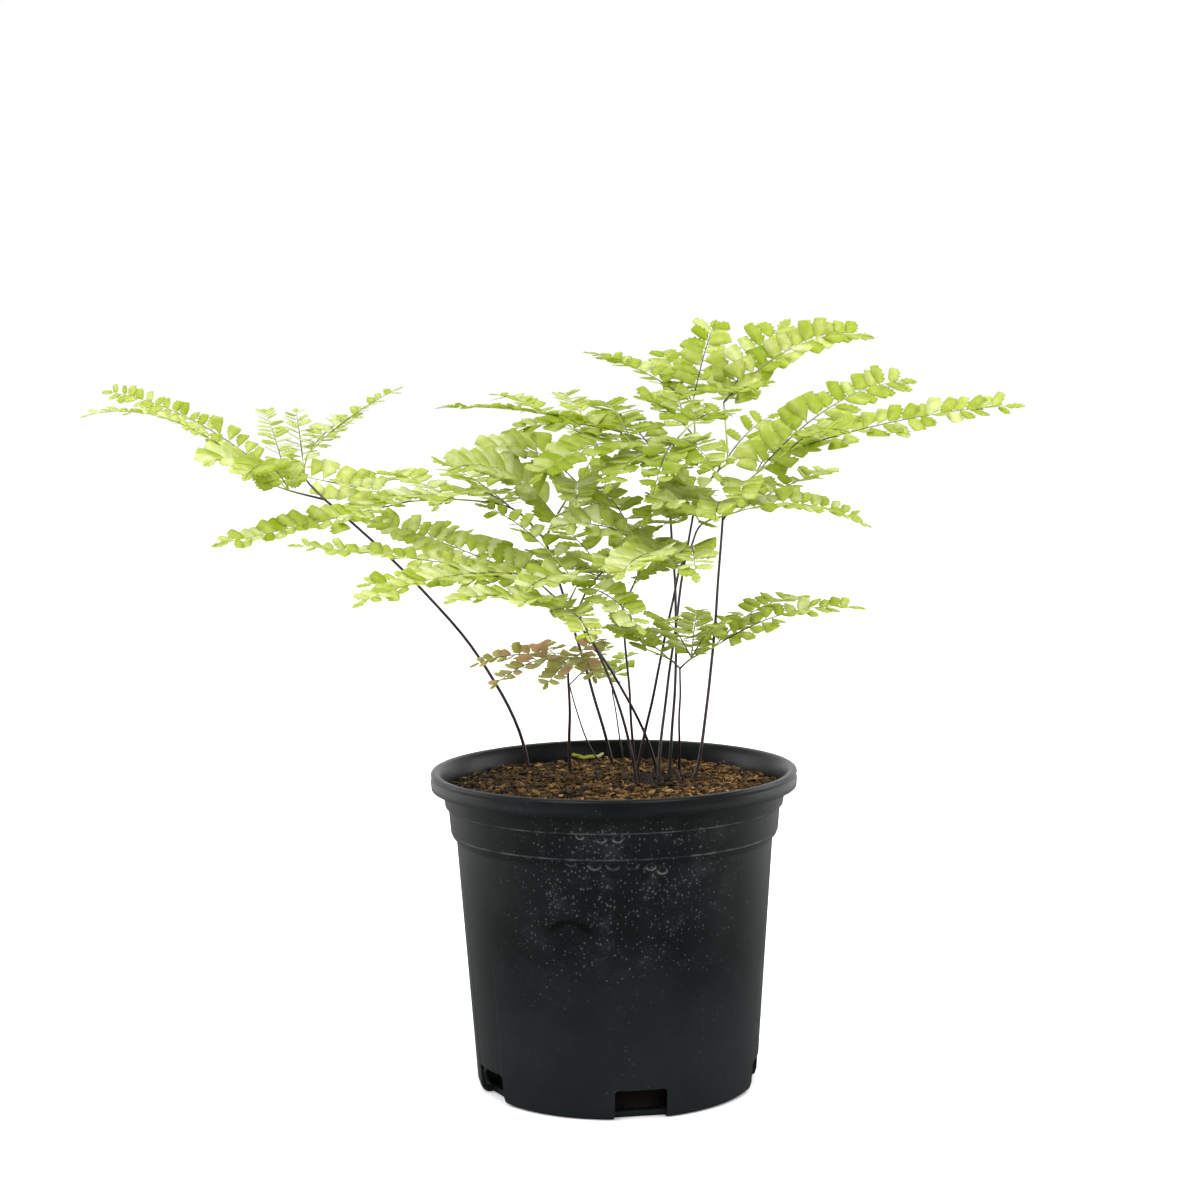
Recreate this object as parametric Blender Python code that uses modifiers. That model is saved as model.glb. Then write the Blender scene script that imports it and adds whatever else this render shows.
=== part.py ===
"""Northern maidenhair fern growing in a round nursery pot.

The pot stands on z = 0 with its axis on the world Z axis. Lengths in the tables are millimetres and
angles are degrees. A heading is measured in the XY plane from +X towards +Y.
"""

import math
from dataclasses import dataclass

import bmesh
import bpy
from mathutils import Vector

MM = 0.001
FIT_GAP = 0.3              # clearance that touching pieces keep
WELD_DISTANCE = 0.00001    # in metres

# Pot, a thin moulded shell
RIM_RADIUS = 82.5
POT_HEIGHT = 144.0
WALL = 1.4
FOOT_RADIUS = 63.6         # outer radius where the straight body wall starts, just above the foot
BODY_RADIUS = 71.3         # outer radius at the top of the straight body wall
BODY_TOP = 113.0
POT_STEPS = 36
# Profile of the pot as (radius, height), from the middle of its floor around and back under it
POT_INSIDE = (
    (0, 2.4), (58.5, 2.4), (60.8, 3.4), (62.2, 6.0), (BODY_RADIUS - WALL, BODY_TOP), (71.6, 115.8),
    (72.4, 117.6), (73.3, 127.6), (74.7, 129.4), (75.8, 136.0), (77.2, 141.2), (79.0, 143.5))
POT_LIP = (
    (80.6, POT_HEIGHT), (82.0, 143.7), (RIM_RADIUS, 142.7), (82.1, 141.3), (RIM_RADIUS, 139.7),
    (82.2, 136.4), (80.9, 136.4), (80.8, 141.4), (79.0, 141.6))
POT_BANDS = ((77.3, 136.0), (76.1, 128.6), (74.7, 127.4), (73.8, 116.9), (73.1, 115.2))
POT_FOOT = ((BODY_RADIUS, BODY_TOP), (FOOT_RADIUS, 4.0), (62.8, 1.4), (61.0, 0.2), (59.6, 0))
POT_UNDERSIDE = ((50, 0), (48.6, 1.0), (18, 1.0), (16.6, 0), (0, 0))

# Drain notches around the foot
NOTCH_COUNT = 5
NOTCH_HEADING = -81.0
NOTCH_WIDTH = 23.0
NOTCH_TOP = 13.5
NOTCH_INNER_RADIUS = 57.0
NOTCH_OVERSHOOT = 5.0      # how far the notch cutters reach below the pot

# Potting mix
MIX_TOP = 136.6            # at the middle of its low mound
MIX_EDGE = 134.6           # at the pot wall
MIX_FOOT_RADIUS = 54.5     # the root ball is rounded off behind the drain notches
MIX_FOOT_TOP = 11.5        # where that rounding starts
MIX_FLOOR = 2.4
MIX_CROWN = ((0, MIX_TOP), (30, 136.3), (58, 135.2))
# Radius of the pot's inside at the heights where the mix lies against it, from the top down
MIX_SIDE = ((75.6, MIX_EDGE), (74.6, 129.6), (73.2, 127.4), (72.2, 117.6), (71.3, 115.6),
            (BODY_RADIUS - WALL, BODY_TOP), (62.9, NOTCH_TOP + 4))

# Rhizome, which creeps just under the surface of the mix
RHIZOME_RADIUS = 3.0
RHIZOME_DEPTH = 8.5        # axis of the rhizome below MIX_EDGE
ARM_RADIUS = 2.7
OLD_BASE_RADII = (1.4, 1.1, 0.8)
OLD_BASE_KNEE = 3.0        # depth below MIX_EDGE where an old base starts to lean

# Stipes
STIPE_STEPS = 9
STIPE_TAPER = 0.3          # share of its radius that a stipe loses towards its fork
STIPE_LIFT = 0.2           # between the gap above the rhizome and the foot of a stipe

# Withered scrap of a leaf
SCRAP_MIDDLE = (-12, 66, 136.5)
SCRAP_LENGTH = 14.0
SCRAP_WIDTH = 4.5
SCRAP_CURL = 2.4           # rise of its ends
SCRAP_CUP = 0.8            # rise of its sides
SCRAP_TAPER = 0.6          # how much narrower it is at its ends

# Leafy parts
BRANCH_RADIUS = 0.65       # of the rachis branches that carry the pinnae
BRANCH_START = 1.7         # distance from the fork to the start of each branch
BLADE_THICKNESS = 0.8
PINNA_STATIONS = 8
LOBE = 0.75                # half width of a pinna at a leaflet, as a share of the leaflet's length
NOTCH_BETWEEN_LOBES = 0.45
TIP_TAPER = 0.75           # how much narrower a pinna is at its tip
PINNA_FOOT = 0.39          # half width of a pinna where it leaves its branch
LOOK_AHEAD = 0.01          # share of a midrib over which its direction is taken


@dataclass(frozen=True)
class Branch:
    """One of the two rachis branches above a fork, laid out in steps of 5 mm and 5 degrees.

    nodes: points in mm where pinnae leave the branch.
    pinnae: (node index, heading, horizontal reach, rise of the tip above the node, height of the
    arch above the straight line, longest leaflet, tilt of its face towards -Y) for each pinna.
    """

    side: str
    nodes: tuple
    pinnae: tuple


@dataclass(frozen=True)
class Frond:
    """A stipe from the rhizome to its fork, and the branches that leave the fork.

    bow: 1 is a straight stipe, above 1 it starts upright and leans over later.
    sway: sideways bulge at the middle of the stipe.
    """

    name: str
    root: tuple
    fork: tuple
    thick: float
    bow: float
    sway: float
    branches: tuple


FRONDS = (
    Frond("far_left", (-40, 45), (-130, 25, 265), 1.7, 1.6, 0, (
        Branch("back", ((-140, 35, 275), (-140, 50, 285)), (
            (1, 30, 50, 30, 3, 7, 10), (1, 70, 55, 15, 4, 9, 5), (0, 100, 60, 30, 3, 8, 0),
            (0, 0, 45, -10, 0, 12, 40))),
        Branch("front", ((-145, 15, 270), (-155, 5, 275)), (
            (0, 160, 95, 45, 9, 8, 45), (0, 105, 80, 35, 4, 8, 0), (1, -170, 80, 30, 13, 8, 10),
            (1, -110, 55, 10, 6, 13, 45), (0, -95, 90, 10, 9, 13, 45))))),
    Frond("reddish", (-20, 25), (-20, 5, 190), 1.6, 1.0, 0, (
        Branch("left", ((-25, 0, 195),), (
            (0, 175, 40, -5, 3, 7, 15), (0, -130, 45, -10, 3, 7, 20), (0, 110, 40, 0, 2, 7, 10))),
        Branch("right", ((-15, 5, 195),), (
            (0, 50, 20, 5, 2, 8, 20), (0, -110, 45, -10, 2, 7, 30), (0, -75, 30, -10, 3, 7, 20))))),
    Frond("small_back", (-5, 60), (-20, 50, 175), 0.9, 0.6, 0, (
        Branch("upper", ((-15, 50, 180),), (
            (0, 60, 30, 10, 2, 6, 15), (0, 10, 20, -5, 2, 6, 20))),)),
    Frond("small_middle", (5, 60), (0, 60, 170), 0.9, 1.0, 0, (
        Branch("upper", ((0, 65, 175),), (
            (0, 120, 25, 5, 2, 8, 15), (0, 70, 30, 10, 2, 7, 10))),)),
    Frond("mid_left", (0, 45), (-30, 30, 245), 1.6, 1.1, 0, (
        Branch("left", ((-45, 25, 260), (-70, 15, 265), (-90, 5, 265)), (
            (0, 130, 60, 20, 3, 12, 8), (1, 130, 60, 10, 2, 11, 8), (2, 160, 40, 10, 0, 10, 15),
            (2, -150, 95, -15, 0, 11, 25), (1, -125, 80, -5, 6, 10, 15), (0, -110, 90, 5, 8, 9, 15))),
        Branch("right", ((-25, 35, 255), (-15, 45, 270), (-5, 60, 285)), (
            (0, -125, 80, 25, 11, 14, 45), (1, -145, 55, 15, 9, 12, 40), (2, 135, 75, 25, 5, 10, 5),
            (2, 105, 75, 25, 5, 10, 5), (1, -90, 85, -5, 4, 11, 30),
            (0, -40, 40, 5, 4, 10, 18), (1, -20, 30, 10, 3, 11, 15))))),
    Frond("low_left", (20, 20), (-20, -30, 220), 1.5, 1.4, 0, (
        Branch("left", ((-30, -35, 230), (-35, -40, 235)), (
            (0, 140, 110, 25, 3, 12, 40), (1, 180, 105, 15, 1, 10, 15), (1, -155, 80, 0, 1, 10, 18),
            (1, -135, 100, -5, 6, 10, 18), (0, 120, 110, 20, 4, 9, 5))),
        Branch("right", ((-15, -30, 230),), (
            (0, 155, 50, 35, 6, 10, 15), (0, 120, 45, 10, 5, 11, 10), (0, -105, 80, 5, 5, 12, 35))))),
    Frond("low_middle", (10, -15), (-15, -45, 220), 1.5, 1.6, 0, (
        Branch("left", ((-20, -50, 220),), (
            (0, -135, 70, 10, 5, 10, 20), (0, -105, 70, 10, 5, 8, 20), (0, -80, 65, -5, 4, 9, 20))),
        Branch("right", ((-10, -45, 230), (0, -35, 240), (10, -25, 250)), (
            (0, -65, 55, -15, 4, 10, 25), (1, -95, 40, 0, 4, 9, 20), (2, 110, 50, 20, 4, 12, 35),
            (2, -160, 40, 5, 4, 11, 35))))),
    Frond("middle", (10, 25), (5, 10, 215), 1.4, 1.0, 0, (
        Branch("left", ((0, 10, 225), (-5, 5, 230)), (
            (0, 120, 50, 25, 4, 12, 15), (1, -175, 40, 5, 3, 10, 10), (1, -115, 25, 5, 3, 10, 20))),
        Branch("right", ((10, 15, 225), (15, 20, 235)), (
            (1, 110, 55, 15, 4, 11, 10), (1, 45, 45, 0, 4, 10, 15), (0, -45, 35, 10, 4, 10, 25))))),
    Frond("mid_right", (10, 15), (30, -15, 235), 1.5, 1.0, 0, (
        Branch("left", ((25, -25, 240),), (
            (0, -140, 20, 5, 2, 10, 30), (0, -105, 90, 0, 6, 12, 22), (0, 135, 35, 10, 3, 11, 20))),
        Branch("right", ((35, -20, 245), (40, -20, 255), (55, -20, 260)), (
            (0, -90, 60, -10, 5, 11, 22), (1, -120, 45, 10, 6, 11, 30), (2, 25, 70, -10, 7, 9, 25),
            (2, 55, 90, 15, 2, 9, 15))))),
    Frond("centre", (25, 10), (25, 10, 280), 1.5, 1.0, 4, (
        Branch("left", ((20, 5, 285), (10, 5, 290), (5, 0, 295)), (
            (0, -115, 55, -15, 5, 10, 20), (1, -130, 70, -15, 6, 12, 25), (2, 170, 55, 0, 4, 12, 20),
            (2, 145, 105, 10, 4, 8, 0), (1, 100, 80, 15, 5, 12, 10), (0, 105, 65, 15, 3, 12, 15))),
        Branch("right", ((30, 15, 290), (35, 25, 295)), (
            (0, -75, 65, -15, 6, 10, 22), (1, 50, 35, 5, 4, 11, 15), (1, 95, 45, 15, 3, 11, 10),
            (0, -100, 70, -20, 5, 11, 24))))),
    Frond("top", (20, 5), (40, 35, 265), 1.5, 1.3, 0, (
        Branch("left", ((35, 45, 275), (40, 60, 290), (40, 80, 305)), (
            (0, -125, 65, 5, 4, 11, 20), (1, -145, 35, 20, 4, 12, 30), (2, 150, 60, 25, 4, 10, 5),
            (2, 105, 60, 25, 3, 11, 20), (2, 75, 55, 40, 4, 12, 45))),
        Branch("right", ((50, 40, 275), (55, 55, 280), (55, 85, 305)), (
            (0, -80, 30, 5, 4, 11, 25), (1, 30, 30, 20, 4, 10, 35), (2, -15, 25, 10, 3, 11, 20),
            (2, 45, 50, 40, 4, 14, 45), (2, 20, 80, 30, 12, 12, 35), (2, -65, 35, 5, 5, 10, 30))))),
    Frond("low_right", (30, 20), (30, -10, 190), 1.2, 0.8, 0, (
        Branch("left", ((25, -15, 195), (15, -20, 200)), (
            (0, 135, 35, 10, 3, 9, 5), (1, 180, 20, 10, 5, 11, 15), (1, -110, 40, 10, 5, 10, 25),
            (1, 110, 20, 5, 3, 9, 5))),
        Branch("right", ((35, -15, 195), (45, -15, 200)), (
            (0, -110, 50, 25, 4, 11, 20), (1, 50, 70, 15, 7, 10, 10), (1, 10, 70, 15, 7, 10, 20),
            (0, -70, 40, 20, 4, 9, 15), (0, 85, 65, 15, 4, 9, 10))))),
    Frond("right", (35, 0), (50, 0, 255), 1.6, 0.6, 0, (
        Branch("left", ((50, 5, 260), (45, 20, 265)), (
            (0, -130, 50, 0, 6, 12, 30), (1, 170, 25, 5, 3, 10, 20), (0, -165, 35, -10, 2, 10, 20),
            (1, -120, 65, -10, 8, 12, 24), (0, -95, 75, 0, 5, 11, 24))),
        Branch("right", ((60, 0, 270), (65, 5, 275), (80, 10, 285)), (
            (0, -95, 60, -5, 6, 10, 30), (1, 30, 90, 40, 11, 13, 40), (2, -10, 105, 20, 4, 12, 25),
            (1, 65, 40, 15, 3, 13, 30), (2, -65, 55, 10, 5, 10, 30))))),
)

RHIZOME_MAIN = ((-45, 50), (-30, 35), (-20, 25), (-5, 15), (10, 10), (25, 10), (30, 0), (40, -5))
RHIZOME_ARMS = (
    ((10, 10), (10, 25), (0, 45), (5, 60), (-5, 65)),
    ((20, 10), (15, 0), (15, -5), (10, -15)),
    ((20, 10), (20, 20), (30, 20)),
)
# Cut-off bases of old stipes: root (x, y), top (x, y, height above the mix)
OLD_BASES = (
    ((15, -5), (10, -10, 7)), ((15, 0), (20, -5, 8)), ((30, 0), (35, -5, 5)), ((-10, 20), (-15, 15, 5)),
    ((20, 15), (25, 25, 7)),
)


@dataclass(frozen=True)
class Finish:
    """Plain colour of one kind of surface."""

    name: str
    colour: tuple
    roughness: float


POT_PLASTIC = Finish("pot_plastic", (0.010, 0.012, 0.012), 0.35)
POTTING_MIX = Finish("potting_mix", (0.10, 0.06, 0.022), 0.95)
RHIZOME_SKIN = Finish("rhizome_skin", (0.02, 0.013, 0.01), 0.8)
STIPE_SKIN = Finish("stipe_skin", (0.012, 0.010, 0.010), 0.3)
LEAF_GREEN = Finish("leaf_green", (0.45, 0.53, 0.12), 0.5)
LEAF_REDDISH = Finish("leaf_reddish", (0.43, 0.38, 0.19), 0.55)
LEAF_YELLOW = Finish("leaf_yellow", (0.52, 0.50, 0.06), 0.6)


def clear_scene():
    """Remove every object of the start-up scene."""
    for old in list(bpy.data.objects):
        bpy.data.objects.remove(old)


def new_collection(name):
    """Make a collection under the scene's own."""
    group = bpy.data.collections.new(name)
    bpy.context.scene.collection.children.link(group)
    return group


def paint(obj, finish):
    """Give obj a material of its own in the colour of finish."""
    material = bpy.data.materials.new(f"{obj.name}_{finish.name}")
    material.use_nodes = True
    shader = material.node_tree.nodes["Principled BSDF"]
    shader.inputs["Base Color"].default_value = (*finish.colour, 1.0)
    shader.inputs["Roughness"].default_value = finish.roughness
    shader.inputs["Metallic"].default_value = 0.0
    obj.data.materials.clear()
    obj.data.materials.append(material)


def as_cutter(obj):
    """Mark obj as a shape that only cuts or joins."""
    obj.hide_render = True
    obj.display_type = "WIRE"


def add_boolean(obj, operation, *, other=None, group=None):
    """Cut obj by, or join it to, another object or a collection of them."""
    change = obj.modifiers.new(operation.lower(), "BOOLEAN")
    change.operation = operation
    change.solver = "EXACT"
    if group:
        change.operand_type = "COLLECTION"
        change.collection = group
    else:
        change.object = other


def turned(name, profile, steps, group):
    """Turn a profile of (radius, height) points in mm around the Z axis.

    The profile starts and ends on the axis, and runs down the outer side.
    """
    mesh = bpy.data.meshes.new(name)
    points = [(radius * MM, 0.0, height * MM) for radius, height in profile]
    mesh.from_pydata(points, [(i, i + 1) for i in range(len(points) - 1)], [])
    obj = bpy.data.objects.new(name, mesh)
    group.objects.link(obj)
    screw = obj.modifiers.new("turn", "SCREW")
    screw.axis = "Z"
    screw.steps = screw.render_steps = steps
    screw.use_merge_vertices = True
    screw.merge_threshold = WELD_DISTANCE
    return obj


def tube(name, points, radii, group, sides_level=1):
    """Sweep a round section along points in mm, and return it as a closed mesh object."""
    curve = bpy.data.curves.new(name, "CURVE")
    curve.dimensions = "3D"
    curve.bevel_depth = MM
    curve.bevel_resolution = sides_level
    curve.use_fill_caps = True
    line = curve.splines.new("POLY")
    line.points.add(len(points) - 1)
    for target, point, radius in zip(line.points, points, radii):
        target.co = (*(Vector(point) * MM), 1.0)
        target.radius = radius
    guide = bpy.data.objects.new(name + "_line", curve)
    group.objects.link(guide)
    bpy.context.view_layer.update()
    swept = guide.evaluated_get(bpy.context.evaluated_depsgraph_get())
    mesh = bpy.data.meshes.new_from_object(swept)
    bpy.data.objects.remove(guide)
    shape = bmesh.new()
    shape.from_mesh(mesh)
    bmesh.ops.remove_doubles(shape, verts=shape.verts, dist=WELD_DISTANCE)
    shape.to_mesh(mesh)
    shape.free()
    mesh.shade_smooth()
    obj = bpy.data.objects.new(name, mesh)
    group.objects.link(obj)
    return obj


def build_pot(group, cutters):
    """Pot with its drain notches."""
    profile = POT_INSIDE + POT_LIP + POT_BANDS + POT_FOOT + POT_UNDERSIDE
    pot = turned("pot", profile, POT_STEPS, group)
    middle = (NOTCH_INNER_RADIUS + RIM_RADIUS) / 2 * MM
    for index in range(NOTCH_COUNT):
        heading = math.radians(NOTCH_HEADING + index * 360 / NOTCH_COUNT)
        bpy.ops.mesh.primitive_cube_add(
            size=MM,
            location=(middle * math.cos(heading), middle * math.sin(heading),
                      (NOTCH_TOP - NOTCH_OVERSHOOT) / 2 * MM),
            rotation=(0, 0, heading),
            scale=(RIM_RADIUS - NOTCH_INNER_RADIUS, NOTCH_WIDTH, NOTCH_TOP + NOTCH_OVERSHOOT))
        cutter = bpy.context.object
        cutter.name = f"notch_cutter_{index + 1}"
        move_to(cutter, cutters)
        as_cutter(cutter)
        add_boolean(pot, "DIFFERENCE", other=cutter)
    paint(pot, POT_PLASTIC)
    return pot


def move_to(obj, group):
    """Keep obj in one collection only."""
    for holder in list(obj.users_collection):
        holder.objects.unlink(obj)
    group.objects.link(obj)


def rhizome_height():
    """Height of the rhizome's axis."""
    return MIX_EDGE - RHIZOME_DEPTH


def longer(points, extra):
    """The same route with both of its ends moved outwards by extra."""
    route = [Vector(point) for point in points]
    route[0] += (route[0] - route[1]).normalized() * extra
    route[-1] += (route[-1] - route[-2]).normalized() * extra
    return route


def rhizome_shape(name, group, cutters, grow):
    """Rhizome with its side arms and old stipe bases, all larger by grow."""
    height = rhizome_height()
    arms = cutters.children.get(name + "_arms") or bpy.data.collections.new(name + "_arms")
    if arms.name not in cutters.children:
        cutters.children.link(arms)
    main = tube(name, longer([(x, y, height) for x, y in RHIZOME_MAIN], grow),
                [RHIZOME_RADIUS + grow] * len(RHIZOME_MAIN), group, 2)
    for index, route in enumerate(RHIZOME_ARMS):
        arm = tube(f"{name}_arm_{index + 1}", longer([(x, y, height) for x, y in route], grow),
                   [ARM_RADIUS + grow] * len(route), arms, 2)
        as_cutter(arm)
    for index, (root, top) in enumerate(OLD_BASES):
        points = [(*root, height), (*root, MIX_EDGE - OLD_BASE_KNEE), (top[0], top[1], MIX_TOP + top[2])]
        radii = [radius + grow for radius in OLD_BASE_RADII]
        base = tube(f"{name}_old_base_{index + 1}", points, radii, arms)
        as_cutter(base)
    add_boolean(main, "UNION", group=arms)
    return main


def stipe_points(frond):
    """Centre line of a stipe, from just above the rhizome to its fork."""
    root, fork = frond.root, frond.fork
    points = [(*root, rhizome_height() + RHIZOME_RADIUS + FIT_GAP + STIPE_LIFT)]
    for step in range(STIPE_STEPS + 1):
        share = step / STIPE_STEPS
        lean = share ** frond.bow
        points.append((
            root[0] + (fork[0] - root[0]) * lean + frond.sway * math.sin(math.pi * share),
            root[1] + (fork[1] - root[1]) * lean,
            MIX_TOP + (fork[2] - MIX_TOP) * share))
    return points


def stipe_radii(frond, count):
    """Radius at each point of a stipe, which tapers towards the fork."""
    return [frond.thick / 2 * (1 - STIPE_TAPER * i / (count - 1)) for i in range(count)]


def build_stipe(frond, group):
    """Dark, wiry stalk of one frond."""
    points = stipe_points(frond)
    stipe = tube(f"{frond.name}_stipe", points, stipe_radii(frond, len(points)), group)
    paint(stipe, STIPE_SKIN)
    return stipe


def pinna_point(start, pinna, share):
    """Point on a pinna's midrib, share of the way from its node to its tip."""
    _, heading, reach, rise, arch, _, _ = pinna
    turn = math.radians(heading)
    return Vector((
        start[0] + reach * share * math.cos(turn),
        start[1] + reach * share * math.sin(turn),
        start[2] + rise * share + 4 * arch * share * (1 - share)))


def pinna_sheet(name, start, pinna, group):
    """One pinna as a thin ribbon whose edges step in and out like its alternate leaflets."""
    shape = bmesh.new()
    bmesh.ops.create_grid(shape, x_segments=PINNA_STATIONS, y_segments=1, size=1.0)
    leaflet, tilt = pinna[5], math.radians(pinna[6])
    face = Vector((0, -math.sin(tilt), math.cos(tilt)))
    for vert in shape.verts:
        share = (vert.co.x + 1) / 2
        station = round(share * PINNA_STATIONS)
        edge = 1 if vert.co.y > 0 else -1
        here = pinna_point(start, pinna, share)
        ahead = pinna_point(start, pinna, share + LOOK_AHEAD)
        across = (ahead - here).cross(face).normalized()
        lobe = LOBE if (station % 2 == 0) == (edge > 0) else NOTCH_BETWEEN_LOBES
        width = leaflet * lobe * (1 - TIP_TAPER * share ** 2)
        if station == 0:
            width = PINNA_FOOT
        vert.co = (here - across * edge * width) * MM
    mesh = bpy.data.meshes.new(name)
    shape.to_mesh(mesh)
    shape.free()
    sheet = bpy.data.objects.new(name, mesh)
    group.objects.link(sheet)
    solid = sheet.modifiers.new("thickness", "SOLIDIFY")
    solid.thickness = BLADE_THICKNESS * MM
    solid.offset = 0.0
    as_cutter(sheet)
    return sheet


def build_blade(frond, branch, group, cutters):
    """Leafy branch: its rachis joined with its pinnae."""
    fork = Vector(frond.fork)
    first = Vector(branch.nodes[0])
    start = fork + (first - fork).normalized() * BRANCH_START
    points = [start] + [Vector(node) for node in branch.nodes]
    radii = [BRANCH_RADIUS] * len(points)
    blade = tube(f"{frond.name}_{branch.side}_blade", points, radii, group)
    pinnae = bpy.data.collections.new(f"{frond.name}_{branch.side}_pinnae")
    cutters.children.link(pinnae)
    for index, pinna in enumerate(branch.pinnae):
        pinna_sheet(f"{blade.name}_pinna_{index + 1}", branch.nodes[pinna[0]], pinna, pinnae)
    add_boolean(blade, "UNION", group=pinnae)
    paint(blade, LEAF_REDDISH if frond.name == "reddish" else LEAF_GREEN)
    return blade


def build_mix(group, cutters):
    """Potting mix with the hollow that the rhizome and the stipes fill."""
    side = tuple((radius - FIT_GAP, height) for radius, height in MIX_SIDE)
    floor = MIX_FLOOR + FIT_GAP
    foot = ((MIX_FOOT_RADIUS, MIX_FOOT_TOP), (MIX_FOOT_RADIUS, floor), (0, floor))
    mix = turned("potting_mix", MIX_CROWN + side + foot, POT_STEPS, group)
    hollow = rhizome_shape("rhizome_hollow", cutters, cutters, FIT_GAP)
    as_cutter(hollow)
    bores = bpy.data.collections.new("stipe_bores")
    cutters.children.link(bores)
    for frond in FRONDS:
        points = stipe_points(frond)
        route = [(*frond.root, rhizome_height())] + points[:3]
        bore = tube(f"{frond.name}_bore", route, [frond.thick / 2 + FIT_GAP] * len(route), bores)
        as_cutter(bore)
    add_boolean(hollow, "UNION", group=bores)
    add_boolean(mix, "DIFFERENCE", other=hollow)
    paint(mix, POTTING_MIX)
    return mix


def build_rhizome(group, cutters):
    """Creeping rootstock that every stipe grows from."""
    rhizome = rhizome_shape("rhizome", group, cutters, 0.0)
    paint(rhizome, RHIZOME_SKIN)
    return rhizome


def build_fallen_leaf(group):
    """Curled yellow leaf scrap that lies on the mix at the back of the pot."""
    shape = bmesh.new()
    bmesh.ops.create_grid(shape, x_segments=6, y_segments=2, size=1.0)
    for vert in shape.verts:
        along, across = vert.co.x, vert.co.y
        vert.co = (Vector(SCRAP_MIDDLE) + Vector((
            along * SCRAP_LENGTH / 2,
            across * SCRAP_WIDTH / 2 * (1 - SCRAP_TAPER * along ** 2),
            SCRAP_CURL * abs(along) ** 3 + SCRAP_CUP * across ** 2))) * MM
    mesh = bpy.data.meshes.new("fallen_leaf")
    shape.to_mesh(mesh)
    shape.free()
    leaf = bpy.data.objects.new("fallen_leaf", mesh)
    group.objects.link(leaf)
    solid = leaf.modifiers.new("thickness", "SOLIDIFY")
    solid.thickness = BLADE_THICKNESS * MM
    solid.offset = 0.0
    paint(leaf, LEAF_YELLOW)
    return leaf


def main():
    """Build the potted fern."""
    clear_scene()
    plant = new_collection("potted_maidenhair_fern")
    cutters = new_collection("cutters")
    build_pot(plant, cutters)
    build_mix(plant, cutters)
    build_rhizome(plant, cutters)
    build_fallen_leaf(plant)
    for frond in FRONDS:
        build_stipe(frond, plant)
        for branch in frond.branches:
            build_blade(frond, branch, plant, cutters)


main()
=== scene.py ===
"""Looks of a northern maidenhair fern in its nursery pot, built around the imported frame.

Tables are in millimetres and degrees. A heading is measured from +X towards +Y. Every finished piece
sits at the origin with its place in its mesh.
"""

import functools
import logging
import math
import operator
from collections.abc import Callable, Iterator, Sequence
from contextlib import contextmanager
from dataclasses import dataclass
from enum import Enum

import bmesh
import bpy
import numpy as np
from mathutils import Matrix, Vector, noise


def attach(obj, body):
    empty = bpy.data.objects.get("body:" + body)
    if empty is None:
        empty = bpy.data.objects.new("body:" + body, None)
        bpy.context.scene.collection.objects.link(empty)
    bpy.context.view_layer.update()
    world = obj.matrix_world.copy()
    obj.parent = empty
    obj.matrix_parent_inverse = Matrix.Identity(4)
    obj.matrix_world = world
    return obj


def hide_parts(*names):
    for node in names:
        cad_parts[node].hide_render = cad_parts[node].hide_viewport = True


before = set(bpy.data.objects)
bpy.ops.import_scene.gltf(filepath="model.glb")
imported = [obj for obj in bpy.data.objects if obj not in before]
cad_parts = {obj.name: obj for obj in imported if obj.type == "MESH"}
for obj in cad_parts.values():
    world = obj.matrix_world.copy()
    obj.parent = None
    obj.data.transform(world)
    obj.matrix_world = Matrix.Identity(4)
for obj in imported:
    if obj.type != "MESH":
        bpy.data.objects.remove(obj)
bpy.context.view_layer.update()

MM = 0.001
ROOT_BODY = "root"
NOISE_SEED = 5
FULL_TURN = 2 * math.pi
TINY = 1e-6
log = logging.getLogger("potted_maidenhair")

Piece = bpy.types.Object
Material = bpy.types.Material
Profile = Sequence[tuple[float, float]]
Colour = tuple[float, float, float, float]


# ---- Bench work: small helpers for modelling by operators ----

def deselect_all() -> None:
    """Leave nothing selected, in object mode."""
    if bpy.context.mode != "OBJECT":
        bpy.ops.object.mode_set(mode="OBJECT")
    bpy.ops.object.select_all(action="DESELECT")


def take(obj: Piece) -> None:
    """Make obj the active and only selected object."""
    deselect_all()
    obj.select_set(True)
    bpy.context.view_layer.objects.active = obj


@contextmanager
def editing() -> Iterator[Piece]:
    """Edit the object that was just added, with all of it selected."""
    obj = bpy.context.object
    bpy.ops.object.mode_set(mode="EDIT")
    bpy.ops.mesh.select_all(action="SELECT")
    yield obj
    bpy.ops.object.mode_set(mode="OBJECT")


def pick(obj: Piece, test: Callable[[Vector], bool]) -> None:
    """Select vertices of the object in edit mode by their place, and all that lies between them.

    Args:
        obj: the object, which is in edit mode.
        test: says whether a vertex at this place is selected.
    """
    bpy.ops.mesh.select_mode(type="VERT")
    shape = bmesh.from_edit_mesh(obj.data)
    for vert in shape.verts:
        vert.select = bool(test(vert.co))
    shape.select_flush_mode()
    bmesh.update_edit_mesh(obj.data)


def sweep_ring(profile: Profile) -> None:
    """Extrude the selected ring around Z through a profile.

    Args:
        profile: (radius, height) points in mm; the ring already lies at the first.
    """
    for (radius, height), (next_radius, next_height) in zip(profile, profile[1:]):
        bpy.ops.mesh.extrude_region_move(
            TRANSFORM_OT_translate={"value": (0, 0, (next_height - height) * MM)})
        scale = next_radius / radius
        bpy.ops.transform.resize(value=(scale, scale, 1), center_override=(0, 0, next_height * MM))


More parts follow.
